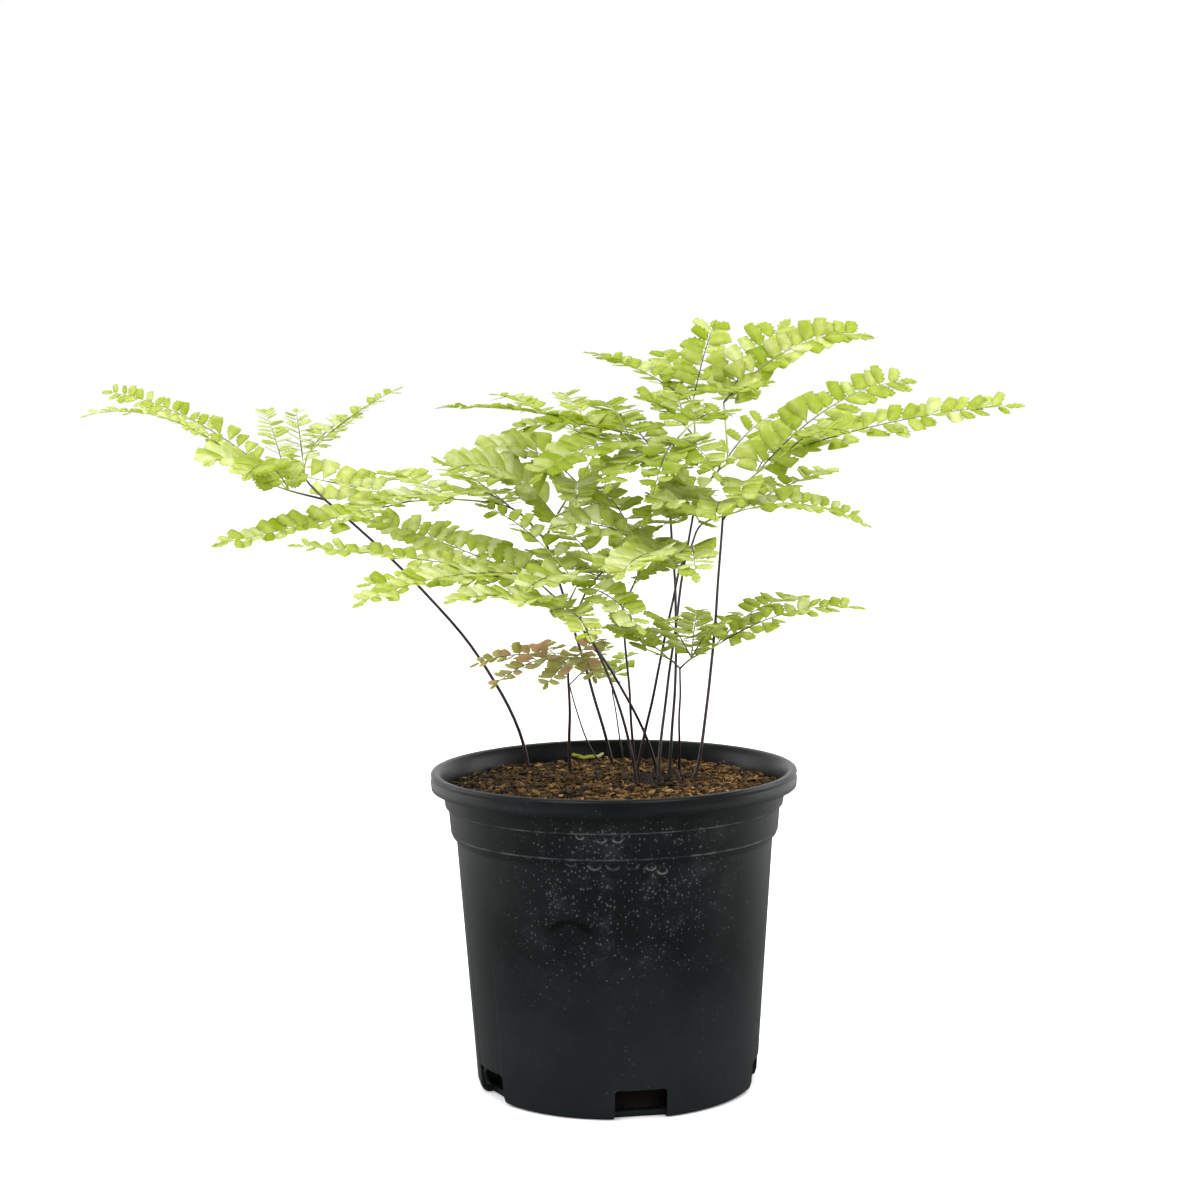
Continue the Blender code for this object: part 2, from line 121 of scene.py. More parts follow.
def turned_shell(name: str, profile: Profile, sides: int) -> Piece:
    """Turn a closed solid whose profile starts and ends at a flat disc across the axis.

    Args:
        name: name of the new object.
        profile: (radius, height) points in mm, from one disc to the other.
        sides: number of facets around.

    Returns:
        The new object, in object mode.
    """
    deselect_all()
    radius, height = (measure * MM for measure in profile[0])
    bpy.ops.mesh.primitive_circle_add(vertices=sides, radius=radius, fill_type="NOTHING")
    with editing() as obj:
        obj.name = obj.data.name = name
        bpy.ops.transform.translate(value=(0, 0, height))
        sweep_ring(profile)
        bpy.ops.mesh.edge_face_add()
        pick(obj, lambda place: math.hypot(place.xy.length - radius, place.z - height) < TINY)
        bpy.ops.mesh.edge_face_add()
        bpy.ops.mesh.select_all(action="SELECT")
        bpy.ops.mesh.normals_make_consistent(inside=False)
    return obj


def apply_modifier(obj: Piece, kind: str, **settings: object) -> None:
    """Add a modifier, set it and apply it.

    Args:
        obj: the object it changes.
        kind: the modifier's type.
        settings: its properties.
    """
    take(obj)
    change = obj.modifiers.new(kind.lower(), kind)
    for key, value in settings.items():
        setattr(change, key, value)
    bpy.ops.object.modifier_apply(modifier=change.name)


def smooth_route(points: Sequence[Vector], per_span: int) -> list[Vector]:
    """Points on a smooth curve through the given ones.

    Args:
        points: the points that the curve passes.
        per_span: how many points each span is cut into.

    Returns:
        The denser route, ends included.
    """
    ends = [points[0] * 2 - points[1], *points, points[-1] * 2 - points[-2]]
    route = []
    for a, b, c, d in zip(ends, ends[1:], ends[2:], ends[3:]):
        for step in range(per_span):
            t = step / per_span
            route.append(0.5 * (2 * b + (c - a) * t + (2 * a - 5 * b + 4 * c - d) * t ** 2
                                + (3 * b - a - 3 * c + d) * t ** 3))
    route.append(points[-1].copy())
    return route


@dataclass
class Strand:
    """One round stem: its route and radii in mm, and how far it fades from dark to green."""

    route: Sequence[Vector]
    radii: Sequence[float]
    fade: Sequence[float] | None = None


def wire_stems(name: str, strands: Sequence[Strand], level: int, skin: Material) -> Piece:
    """Make stems from a bevelled curve that is converted to a mesh.

    Args:
        name: name of the new object.
        strands: the stems.
        level: bevel resolution; the section has 4 + 2 * level sides.
        skin: their material.

    Returns:
        The mesh object, with the point attribute "fade".
    """
    deselect_all()
    bpy.ops.curve.primitive_bezier_curve_add()
    guide = bpy.context.object
    guide.name = name
    line = guide.data
    line.splines.clear()
    line.dimensions = "3D"
    line.bevel_depth = MM
    line.bevel_resolution = level
    line.use_fill_caps = True
    fades = []
    for strand in strands:
        spline = line.splines.new("POLY")
        spline.points.add(len(strand.route) - 1)
        fade = strand.fade or [0.0] * len(strand.route)
        for point, place, radius, share in zip(spline.points, strand.route, strand.radii, fade):
            point.co = (*(place * MM), 1.0)
            point.radius = radius
            fades += [share] * (4 + 2 * level)
    bpy.ops.object.convert(target="MESH")
    obj = bpy.context.object
    # The caps repeat the end rings of each stem, and these values don't allow for that. So they run
    # ahead of their rings from the second stem on, and the last vertices stay dark.
    set_values(obj, "fade", fades + [0.0] * (len(obj.data.vertices) - len(fades)))
    obj.data.materials.clear()
    obj.data.materials.append(skin)
    bpy.ops.object.shade_smooth()
    return obj


def set_values(piece: Piece, label: str, values: Sequence[float]) -> None:
    """Store one number for each vertex of a piece, under a name that its material reads."""
    piece.data.attributes.new(label, "FLOAT", "POINT").data.foreach_set("value", values)


def join_to(main: Piece, other: Piece) -> None:
    """Join the other object into main."""
    take(main)
    other.select_set(True)
    bpy.ops.object.join()


def put_in_place(piece: Piece, slot: str, node: str, *materials: Material) -> None:
    """Finish a piece: dressed, with a bare transform, riding on the root, in place of its CAD node.

    Args:
        piece: the finished piece.
        slot: the record's material slot; not used.
        node: the CAD node that it replaces.
        materials: its materials; none leaves those that it has.
    """
    take(piece)
    bpy.ops.object.transform_apply(location=True, rotation=True, scale=True)
    if materials:
        piece.data.materials.clear()
    for material in materials:
        piece.data.materials.append(material)
    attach(piece, ROOT_BODY)
    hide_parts(node)
    deselect_all()
    piece.data.calc_loop_triangles()
    log.info("%s: %d triangles", piece.name, len(piece.data.loop_triangles))


# ---- Finishes ----

def srgb(code: str) -> Colour:
    """Linear colour, with an alpha of 1, of six hex digits."""
    parts = [int(code[i:i + 2], 16) / 255 for i in (0, 2, 4)]
    return (*(c / 12.92 if c <= 0.04045 else ((c + 0.055) / 1.055) ** 2.4 for c in parts), 1.0)


class Wire:
    """An output that takes arithmetic: each operation adds a Math node to its bench.

    a | b is the larger of two masks, and a < b is a mask of where a is below b.
    """

    def __init__(self, bench: "Bench", socket: bpy.types.NodeSocket) -> None:
        """Hold an output socket of a node on the bench."""
        self.bench, self.socket = bench, socket

    def held(self) -> "Wire":
        """This result, kept between 0 and 1."""
        self.socket.node.use_clamp = True
        return self

    def _operation(kind: str, swapped: bool = False) -> Callable[..., "Wire"]:
        """Method that adds a Math node of this kind, with the wire first unless it is swapped."""
        def work(self: "Wire", *others: object) -> "Wire":
            """Result of the node."""
            return self.bench.math(kind, *((*others, self) if swapped else (self, *others)))
        return work

    __add__, __sub__, __mul__, __truediv__ = map(_operation, ("ADD", "SUBTRACT", "MULTIPLY", "DIVIDE"))
    __or__, __lt__, __abs__ = map(_operation, ("MAXIMUM", "LESS_THAN", "ABSOLUTE"))
    __rsub__ = _operation("SUBTRACT", swapped=True)


class Bench:
    """A node tree, with short calls to add and join its nodes."""

    def __init__(self, tree: bpy.types.NodeTree) -> None:
        """Work on tree."""
        self.tree = tree

    def feed(self, target: bpy.types.NodeSocket, value: object) -> None:
        """Set an input to a value, or link it to a wire."""
        if isinstance(value, Wire):
            self.tree.links.new(value.socket, target)
        else:
            target.default_value = value

    def feed_all(self, node: bpy.types.Node, *values: object, **named: object) -> None:
        """Feed a node's inputs.

        Args:
            node: the node.
            values: values or wires for its first inputs, in order.
            named: values or wires by input name, with _ in place of a space.
        """
        for target, value in zip(node.inputs, values):
            self.feed(target, value)
        for name, value in named.items():
            self.feed(node.inputs[name.replace("_", " ")], value)

    def add(self, kind: str, *values: object, settings: dict | None = None, **named: object) -> list[Wire]:
        """Add a node.

        Args:
            kind: the node's type, without its ShaderNode prefix.
            values: values or wires for its first inputs, in order.
            settings: its properties.
            named: values or wires by input name, with _ in place of a space.

        Returns:
            Its outputs.
        """
        node = self.tree.nodes.new("ShaderNode" + kind)
        for key, value in (settings or {}).items():
            setattr(node, key, value)
        self.feed_all(node, *values, **named)
        return [Wire(self, output) for output in node.outputs]

    def math(self, operation: str, *values: object) -> Wire:
        """Result of a Math node on one to three values or wires."""
        return self.add("Math", *values, settings={"operation": operation})[0]

    def group(self, tree: bpy.types.NodeTree, *values: object) -> list[Wire]:
        """Outputs of a shared group that is fed with these values or wires."""
        return self.add("Group", *values, settings={"node_tree": tree})

    def vector(self, operation: str, *values: object) -> list[Wire]:
        """Vector and value that a Vector Math node gives."""
        return self.add("VectorMath", *values, settings={"operation": operation})

    def place(self) -> Wire:
        """Place on the object, in metres."""
        return self.output(self.tree.nodes.new("ShaderNodeTexCoord"), "Object")

    def output(self, node: bpy.types.Node, name: str) -> Wire:
        """Named output of a node."""
        return Wire(self, node.outputs[name])

    def attribute(self, label: str) -> Wire:
        """Number stored on the piece's vertices under this label."""
        node = self.tree.nodes.new("ShaderNodeAttribute")
        node.attribute_name = label
        return self.output(node, "Fac")

    def parts(self, vector: Wire) -> list[Wire]:
        """X, Y and Z of a vector."""
        return self.add("SeparateXYZ", vector)

    def mix(self, share: object, first: object, second: object) -> Wire:
        """Colour that goes from first to second as share goes from 0 to 1."""
        mixer = self.add("Mix", share, settings={"data_type": "RGBA", "clamp_factor": True})[2]
        sockets = mixer.socket.node.inputs
        self.feed(sockets[6], first)
        self.feed(sockets[7], second)
        return mixer

    def ramp(self, value: Wire, stops: Sequence[tuple[float, str]]) -> Wire:
        """Colour of a ramp.

        Args:
            value: where on the ramp, 0 to 1.
            stops: (place, hex colour) of each stop.

        Returns:
            The colour.
        """
        colour = self.add("ValToRGB", value)[0]
        elements = colour.socket.node.color_ramp.elements
        while len(elements) < len(stops):
            elements.new(0.5)
        for element, (place, code) in zip(elements, stops):
            element.position, element.color = place, srgb(code)
        return colour

    def span(self, value: Wire, low: float, high: float, start: float = 0.0, end: float = 1.0) -> Wire:
        """Value moved smoothly from the range low to high into the range start to end."""
        return self.add("MapRange", value, low, high, start, end,
                        settings={"interpolation_type": "SMOOTHSTEP"})[0]

    def noise(self, place: Wire, scale: float, detail: float, rough: float) -> Wire:
        """Noise value, 0 to 1, with scale features a metre."""
        return self.add("TexNoise", Vector=place, Scale=scale, Detail=detail, Roughness=rough)[0]

    def bump(self, height: Wire, distance: float, strength: float) -> Wire:
        """Normal of a surface with this height, distance metres deep."""
        return self.add("Bump", Strength=strength, Distance=distance, Height=height)[0]


def new_finish(name: str) -> tuple[Material, Bench, bpy.types.Node]:
    """Empty material with its bench and its Principled shader."""
    material = bpy.data.materials.new(name)
    material.use_nodes = True
    return material, Bench(material.node_tree), material.node_tree.nodes["Principled BSDF"]


def new_group(name: str, inputs: dict[str, float | None],
              outputs: Sequence[str]) -> tuple[Bench, list[Wire], bpy.types.Node]:
    """Empty shader node group.

    Args:
        name: the group's name.
        inputs: its inputs, each with its default, or None for a vector.
        outputs: names of its outputs, which are numbers.

    Returns:
        Its bench, its inputs and its output node.
    """
    tree = bpy.data.node_groups.new(name, "ShaderNodeTree")
    for label, default in inputs.items():
        kind = "NodeSocketVector" if default is None else "NodeSocketFloat"
        socket = tree.interface.new_socket(label, in_out="INPUT", socket_type=kind)
        if default is not None:
            socket.default_value = default
    for label in outputs:
        tree.interface.new_socket(label, in_out="OUTPUT", socket_type="NodeSocketFloat")
    bench = Bench(tree)
    source, sink = tree.nodes.new("NodeGroupInput"), tree.nodes.new("NodeGroupOutput")
    return bench, [Wire(bench, output) for output in source.outputs], sink


class SharedEffects:
    """Node groups that several finishes use, each built once."""

    def __init__(self) -> None:
        """Build the groups."""
        self.grain = self._grain()
        self.specks = self._specks()
        self.drop = self._drop()

    @staticmethod
    def _grain() -> bpy.types.NodeTree:
        """Patchy grain: a mask of large soft patches and a mask of fine grain."""
        bench, (place, patch, fine, *_), sink = new_group(
            "patchy_grain", {"Place": None, "Patch Scale": 40.0, "Grain Scale": 900.0}, ("Patches", "Grain"))
        patches = bench.noise(place, patch, 4.0, 0.6)
        bench.feed_all(sink, bench.span(patches, 0.34, 0.68), bench.noise(place, fine, 2.0, 0.5))
        return bench.tree

    @staticmethod
    def _specks() -> bpy.types.NodeTree:
        """Scattered small round specks; Share says how many cells hold one."""
        bench, (place, scale, size, share, *_), sink = new_group(
            "specks", {"Place": None, "Scale": 300.0, "Size": 0.25, "Share": 0.3}, ("Mask",))
        distance, colour, *_ = bench.add("TexVoronoi", Vector=place, Scale=scale, Randomness=1.0)
        chance = bench.add("SeparateColor", colour)[0]
        held = chance < share
        near = (1.0 - distance / (size * (chance + 0.6))).held()
        bench.feed_all(sink, (held * near).held())
        return bench.tree

    @staticmethod
    def _drop() -> bpy.types.NodeTree:
        """Ring that a drop leaves, strongest at its lower side and only on the front."""
        bench, (place, centre, radius, *_), sink = new_group(
            "dried_drop", {"Place": None, "Centre": None, "Radius": 0.002}, ("Mask",))
        x, y, z = bench.parts(bench.vector("SUBTRACT", place, centre)[0])
        flat = bench.add("CombineXYZ", x, z * 1.35)[0]
        reach = bench.vector("LENGTH", flat)[1]
        ring = bench.span(abs(reach / radius - 1.0), 0.42, 0.08)
        lower = bench.span(z / radius, 0.35, -0.45, 0.12, 1.0)
        bench.feed_all(sink, ring * lower * (y < 0.0))
        return bench.tree


@dataclass(frozen=True)
class MouldedPlastic:
    """Charcoal plastic of the pot, misted with limescale and marked where drops have dried, with painted
    highlights on its step edges and a painted floor reflection on its foot.

    Places and ranges are in metres, and each range runs from where its mask is 0 to where it is 1.
    Specks are (cells a metre, size in cells). drops holds (x, height, radius) in mm of each mark on the
    front, and edges the heights in mm of the edges of the two steps, where thin highlights are painted.
    """

    effects: SharedEffects
    shade: str = "070a0b"
    # Lighter tone of the plastic's real patches, and of the painted floor reflection on the foot.
    worn_and_reflected: str = "171b1c"
    # Colour of the limescale, and of the painted highlight lines on the step edges.
    lime_and_highlight: str = "8b9593"
    scuffed: str = "020202"
    mist_depth: tuple = (0.01, -0.05)
    mist_side: tuple = (0.070, 0.016)
    mist_shift: float = -0.004
    mist_foot: tuple = (0.035, 0.095)
    mist_brim: tuple = (0.139, 0.128)
    # Heights in metres over which the foot is painted lighter, as a painted reflection of the floor.
    foot_reflection: tuple = (0.085, 0.02)
    fine_specks: tuple = (620.0, 0.36)
    large_specks: tuple = (210.0, 0.16)
    scuff_centre: tuple = (-0.0200, -0.0700, 0.0820)
    scuff_radius: float = 0.0062
    # Heights in mm of the painted highlight lines on the step edges.
    edges: tuple = (116.7, 128.3)
    drops: tuple = ((-19, 115, 2), (-9, 114, 2.5), (-1, 114, 2.5), (7, 114, 2.5), (15, 113, 2),
                    (20, 111, 2), (-15, 127, 1.5), (-6, 126, 2), (1, 126, 2))

    def material(self) -> Material:
        """Build the material."""
        material, bench, shader = new_finish("moulded_pot_plastic")
        place = bench.place()
        x, y, z = bench.parts(place)
        patches, grain = bench.group(self.effects.grain, place, 26.0, 1400.0)
        stain = bench.noise(place, 90.0, 5.0, 0.7)
        misted = self._mist(bench, x, y, z) * bench.span(stain, 0.34, 0.62, 0.45, 1.0)
        misted = misted | patches * 0.15
        fine = bench.group(self.effects.specks, place, *self.fine_specks, misted)[0]
        large = bench.group(self.effects.specks, place, *self.large_specks, misted * 0.4)[0]
        haze = bench.span(stain, 0.45, 0.75) * misted
        broken = self._dried_drops(bench, place) * bench.span(stain, 0.38, 0.58, 0.1, 1.0)
        lime_and_highlight = fine * 0.20 | large * 0.26 | haze * 0.03 | broken * 0.22
        # Painted highlights: thin light lines along the step edges, in the limescale colour.
        lime_and_highlight = lime_and_highlight | self._edge_highlights(bench, z, stain)
        # Painted reflection: the foot is lighter towards the floor, mixed with the plastic's own patches.
        rubbed_and_reflected = (patches * 0.35 + bench.span(z, *self.foot_reflection) * 0.75).held()
        colour = bench.mix(lime_and_highlight, bench.mix(rubbed_and_reflected, srgb(self.shade), srgb(self.worn_and_reflected)), srgb(self.lime_and_highlight))
        scuff = self._scuff(bench, place) * 0.95
        bench.feed_all(shader, Base_Color=bench.mix(scuff, colour, srgb(self.scuffed)),
                       Roughness=(patches * 0.10 + 0.3 + lime_and_highlight * 0.5 - scuff * 0.2).held(),
                       Specular_IOR_Level=0.14, Normal=bench.bump(grain * 0.5 + lime_and_highlight * 0.5, 0.00012, 0.5))
        return material

    def _mist(self, bench: Bench, x: Wire, y: Wire, z: Wire) -> Wire:
        """Mask of the front of the pot, between its foot and its brim."""
        front = bench.span(y, *self.mist_depth)
        middle = bench.span(abs(x + self.mist_shift), *self.mist_side)
        return front * middle * (bench.span(z, *self.mist_foot) * bench.span(z, *self.mist_brim))

    def _edge_highlights(self, bench: Bench, z: Wire, stain: Wire) -> Wire:
        """Painted highlights: thin broken light lines along the edges of the two steps."""
        low, high = (bench.span(abs(z - height * MM), 0.0006, 0.0001) for height in self.edges)
        return (low | high) * bench.span(stain, 0.35, 0.62, 0.02, 0.16)

    def _dried_drops(self, bench: Bench, place: Wire) -> Wire:
        """Marks of drops that hung under the two steps of the band."""
        marks = [bench.group(self.effects.drop, place, (x * MM, 0.0, height * MM), radius * MM)[0]
                 for x, height, radius in self.drops]
        return functools.reduce(operator.or_, marks)

    def _scuff(self, bench: Bench, place: Wire) -> Wire:
        """Dark curved scuff on the front of the body."""
        offset = bench.vector("SUBTRACT", place, self.scuff_centre)[0]
        reach = bench.vector("LENGTH", bench.vector("MULTIPLY", offset, (0.72, 0.0, 1.0))[0])[1]
        _, depth, height = bench.parts(offset)
        arc = bench.span(abs(reach - self.scuff_radius), 0.0022, 0.0004)
        return arc * bench.span(height, 0.0005, 0.0035) * bench.span(depth, 0.02, 0.008)


@dataclass(frozen=True)
class CoirMix:
    """Loose coir and bark, from nearly black to straw, with the painted shadow of the lip darkening it
    towards -X.

    The painted shadow of the lip darkens it by a set amount, reached over a range of X in metres.
    """

    effects: SharedEffects
    lip_shade: float = 0.16
    lip_shade_range: tuple = (0.005, -0.045)
    stops: tuple = ((0.0, "0b0704"), (0.3, "2f2010"), (0.6, "59401f"), (0.85, "856238"), (1.0, "b6935c"))

    def material(self) -> Material:
        """Build the material."""
        material, bench, shader = new_finish("coir_and_bark")
        place = bench.place()
        patches, grain = bench.group(self.effects.grain, place, 120.0, 1500.0)
        value = bench.attribute("tone") + (grain - 0.5) * 0.5 + (patches - 0.5) * 0.14
        # Painted shade: the shadow of the lip, darker towards -X.
        lip_shade = bench.span(bench.parts(place)[0], *self.lip_shade_range) * self.lip_shade
        bench.feed_all(shader, Base_Color=bench.ramp((value - lip_shade).held(), self.stops),
                       Roughness=bench.span(grain, 0.3, 0.7, 0.75, 0.95), Specular_IOR_Level=0.25,
                       Normal=bench.bump(grain, 0.0003, 0.8))
        return material


@dataclass(frozen=True)
class StalkSkin:
    """Wiry, almost black skin of stipes, fading to green where the stalks are thinnest."""

    effects: SharedEffects
    name: str = "stalk_skin"
    dark: str = "1a1416"
    brown: str = "3a2a26"
    green: str = "93a544"
    rough: float = 0.3

    def material(self) -> Material:
        """Build the material."""
        material, bench, shader = new_finish(self.name)
        patches, grain = bench.group(self.effects.grain, bench.place(), 140.0, 1800.0)
        skin = bench.mix(patches, srgb(self.dark), srgb(self.brown))
        bench.feed_all(shader, Base_Color=bench.mix(bench.attribute("fade"), skin, srgb(self.green)),
                       Roughness=grain * 0.2 + self.rough, Normal=bench.bump(grain, 0.00008, 0.5))
        return material


@dataclass(frozen=True)
class LeafTissue:
    """Thin leaf tissue with fanning veins, which lets light through.

    through is the share of light that passes, tinted with glow; aged is the colour of old spots.
    """

    effects: SharedEffects
    name: str
    deep: str
    middle: str
    light: str
    aged: str
    glow: str
    through: float = 0.6

    def material(self) -> Material:
        """Build the material."""
        material, bench, shader = new_finish(self.name)
        patches, grain = bench.group(self.effects.grain, bench.place(), 260.0, 1600.0)
        veins = self._veins(bench)
        value = (bench.attribute("tone") + (patches - 0.5) * 0.32 - veins * 0.12).held()
        colour = bench.ramp(value, ((0.0, self.deep), (0.5, self.middle), (1.0, self.light)))
        border = bench.span(bench.attribute("rim"), 0.82, 1.0) * 0.30
        colour = bench.mix(border, colour, srgb(self.deep))
        spots = bench.span(bench.attribute("age") + grain * 0.5, 0.55, 1.0)
        colour = bench.mix(spots, colour, srgb(self.aged))
        bench.feed_all(shader, Base_Color=colour, Roughness=bench.span(grain, 0.3, 0.7, 0.42, 0.62),
                       Specular_IOR_Level=0.3, Normal=bench.bump(veins + grain * 0.4, 0.00012, 0.5))
        tint = bench.mix(spots, bench.mix(0.5, colour, srgb(self.glow)), srgb(self.aged))
        glow = bench.add("BsdfTranslucent", tint)[0]
        blend = bench.add("MixShader", self.through, Wire(bench, shader.outputs[0]), glow)[0]
        bench.feed_all(material.node_tree.nodes["Material Output"], blend)
        return material

    @staticmethod
    def _veins(bench: Bench) -> Wire:
        """Ridges that fan out from the stalk of each leaflet."""
        along, across, _ = bench.parts(bench.add("UVMap", settings={"uv_map": "leaf_map"})[0])
        turn = bench.math("ARCTAN2", across, along + 0.12)
        return bench.span(bench.math("SINE", turn * 58.0), 0.1, 1.0)


# ---- Moulds: small shapes that are modelled once and copied ----

@dataclass
class Mould:
    """A small closed shape, one unit long, that is copied many times.

    chart is the place of each point on the leaf map and rim is 1 on its outline and 0 inside. stalk
    is 1 for the faces that take the second material, and smooth says which faces are.
    """

    points: np.ndarray
    faces: list[tuple[int, ...]]
    chart: np.ndarray
    rim: np.ndarray
    stalk: list[int]
    smooth: list[bool]


def read_mould(obj: Piece, stalk_end: float = -1.0, flat_rim: bool = False) -> Mould:
    """Read a finished small object into a mould, and remove the object.

    Args:
        obj: the object, one unit long from the origin along X.
        stalk_end: faces nearer the origin than this are stalk.
        flat_rim: whether faces that stand upright are left flat.

    Returns:
        The mould.
    """
    mesh = obj.data
    points = np.array([vert.co[:] for vert in mesh.vertices])
    uprights = [abs(face.normal.z) < 0.5 for face in mesh.polygons]
    rim = np.zeros(len(points))
    for face, upright in zip(mesh.polygons, uprights):
        if upright:
            rim[list(face.vertices)] = 1.0
    mould = Mould(points, [tuple(face.vertices) for face in mesh.polygons], points[:, :2].copy(), rim,
                  [int(face.center.x < stalk_end) for face in mesh.polygons],
                  [not (upright and flat_rim) for upright in uprights])
    bpy.data.objects.remove(obj)
    return mould


class LeafletForm(Enum):
    """Kinds of leaflet, by their place on a pinna: (along, lower edge, upper edge, lift) stations."""

    WEDGE = ((0.0, -0.013, 0.013, 0.0), (0.10, -0.018, 0.02, 0.0), (0.22, -0.08, 0.13, 0.01),
             (0.42, -0.16, 0.29, 0.02), (0.56, -0.21, 0.41, 0.02), (0.63, -0.24, 0.33, 0.02),
             (0.76, -0.28, 0.50, 0.02), (0.83, -0.29, 0.39, 0.01), (0.94, -0.31, 0.45, 0.01),
             (1.0, -0.22, 0.32, 0.01))
    OBLONG = ((0.0, -0.013, 0.013, 0.0), (0.07, -0.018, 0.02, 0.0), (0.14, -0.08, 0.24, 0.01),
              (0.30, -0.13, 0.44, 0.02), (0.38, -0.14, 0.34, 0.02), (0.52, -0.15, 0.49, 0.02),
              (0.60, -0.15, 0.38, 0.02), (0.76, -0.15, 0.47, 0.02), (0.84, -0.13, 0.33, 0.01),
              (0.96, -0.11, 0.37, 0.01), (1.0, -0.04, 0.24, 0.01))
    FINGER = ((0.0, -0.014, 0.014, 0.0), (0.08, -0.019, 0.02, 0.0), (0.22, -0.12, 0.21, 0.01),
              (0.42, -0.18, 0.30, 0.02), (0.51, -0.18, 0.23, 0.02), (0.68, -0.19, 0.29, 0.02),
              (0.78, -0.18, 0.21, 0.01), (0.94, -0.15, 0.23, 0.01), (1.0, -0.06, 0.10, 0.01))
    TIP = ((0.0, -0.02, 0.02, 0.0), (0.06, -0.05, 0.05, 0.0), (0.18, -0.16, 0.20, 0.01),
           (0.34, -0.26, 0.15, 0.02), (0.50, -0.15, 0.28, 0.02), (0.66, -0.24, 0.18, 0.02),
           (0.80, -0.14, 0.22, 0.01), (0.92, -0.12, 0.12, 0.01), (1.0, -0.04, 0.04, 0.0))

    def mould(self) -> Mould:
        """Model this leaflet from a grid whose cross lines are scaled and moved to its stations.

        Returns:
            The mould, of a thin plate with a raised midline and sunk edges.
        """
        stations = self.value
        last = len(stations) - 1
        deselect_all()
        bpy.ops.mesh.primitive_grid_add(x_subdivisions=last, y_subdivisions=2, size=1.0)
        with editing() as obj:
            for index in range(last, -1, -1):
                along, low, high, lift = stations[index]
                line = index / last - 0.5
                pick(obj, lambda place: abs(place.x - line) < 0.01 and abs(place.z) < TINY)
                bpy.ops.transform.resize(value=(1, high - low, 1), center_override=(line, 0, 0))
                bpy.ops.transform.translate(value=(along - line, (low + high) / 2, -0.35 * lift - 1e-4))
        for vert in obj.data.vertices:
            _, low, high, lift = min(stations, key=lambda station: abs(station[0] - vert.co.x))
            if abs(vert.co.y - (low + high) / 2) < 10 * TINY:
                vert.co.z = lift * 0.2
        apply_modifier(obj, "SOLIDIFY", thickness=0.022, offset=0.0, use_even_offset=False)
        return read_mould(obj, stalk_end=0.06, flat_rim=True)


def chip_mould(size: tuple[float, float, float], bend: float, seed: int) -> Mould:
    """Model a chip of bark or a coir fibre from a subdivided cube.

    Args:
        size: its length, width and thickness, as shares of its length.
        bend: how far its middle rises.
        seed: seed of its uneven shape.

    Returns:
        The mould.
    """
    deselect_all()
    bpy.ops.mesh.primitive_cube_add(size=1.0)
    with editing() as obj:
        bpy.ops.transform.resize(value=size)
        bpy.ops.mesh.select_mode(type="EDGE")
        shape = bmesh.from_edit_mesh(obj.data)
        for edge in shape.edges:
            edge.select = abs(edge.verts[0].co.x - edge.verts[1].co.x) > 0.5
        bmesh.update_edit_mesh(obj.data)
        bpy.ops.mesh.subdivide(number_cuts=2)
        pick(obj, lambda place: abs(place.x) < 0.3)
        bpy.ops.transform.translate(value=(0, 0, bend))
        bpy.ops.transform.resize(value=(1, 1.35, 1.2))
        bpy.ops.mesh.select_all(action="SELECT")
        bpy.ops.transform.vertex_random(offset=0.5 * min(size), seed=seed)
        bpy.ops.mesh.normals_make_consistent(inside=False)
    return read_mould(obj)


def crumb_mould(seed: int) -> Mould:
    """Model an uneven crumb from a small ball of triangles.

    Args:
        seed: seed of its uneven shape.

    Returns:
        The mould.
    """
    deselect_all()
    bpy.ops.mesh.primitive_ico_sphere_add(subdivisions=1, radius=0.5)
    with editing() as obj:
        bpy.ops.transform.resize(value=(1.0, 0.8, 0.6))
        bpy.ops.transform.vertex_random(offset=0.12, seed=seed)
    return read_mould(obj)


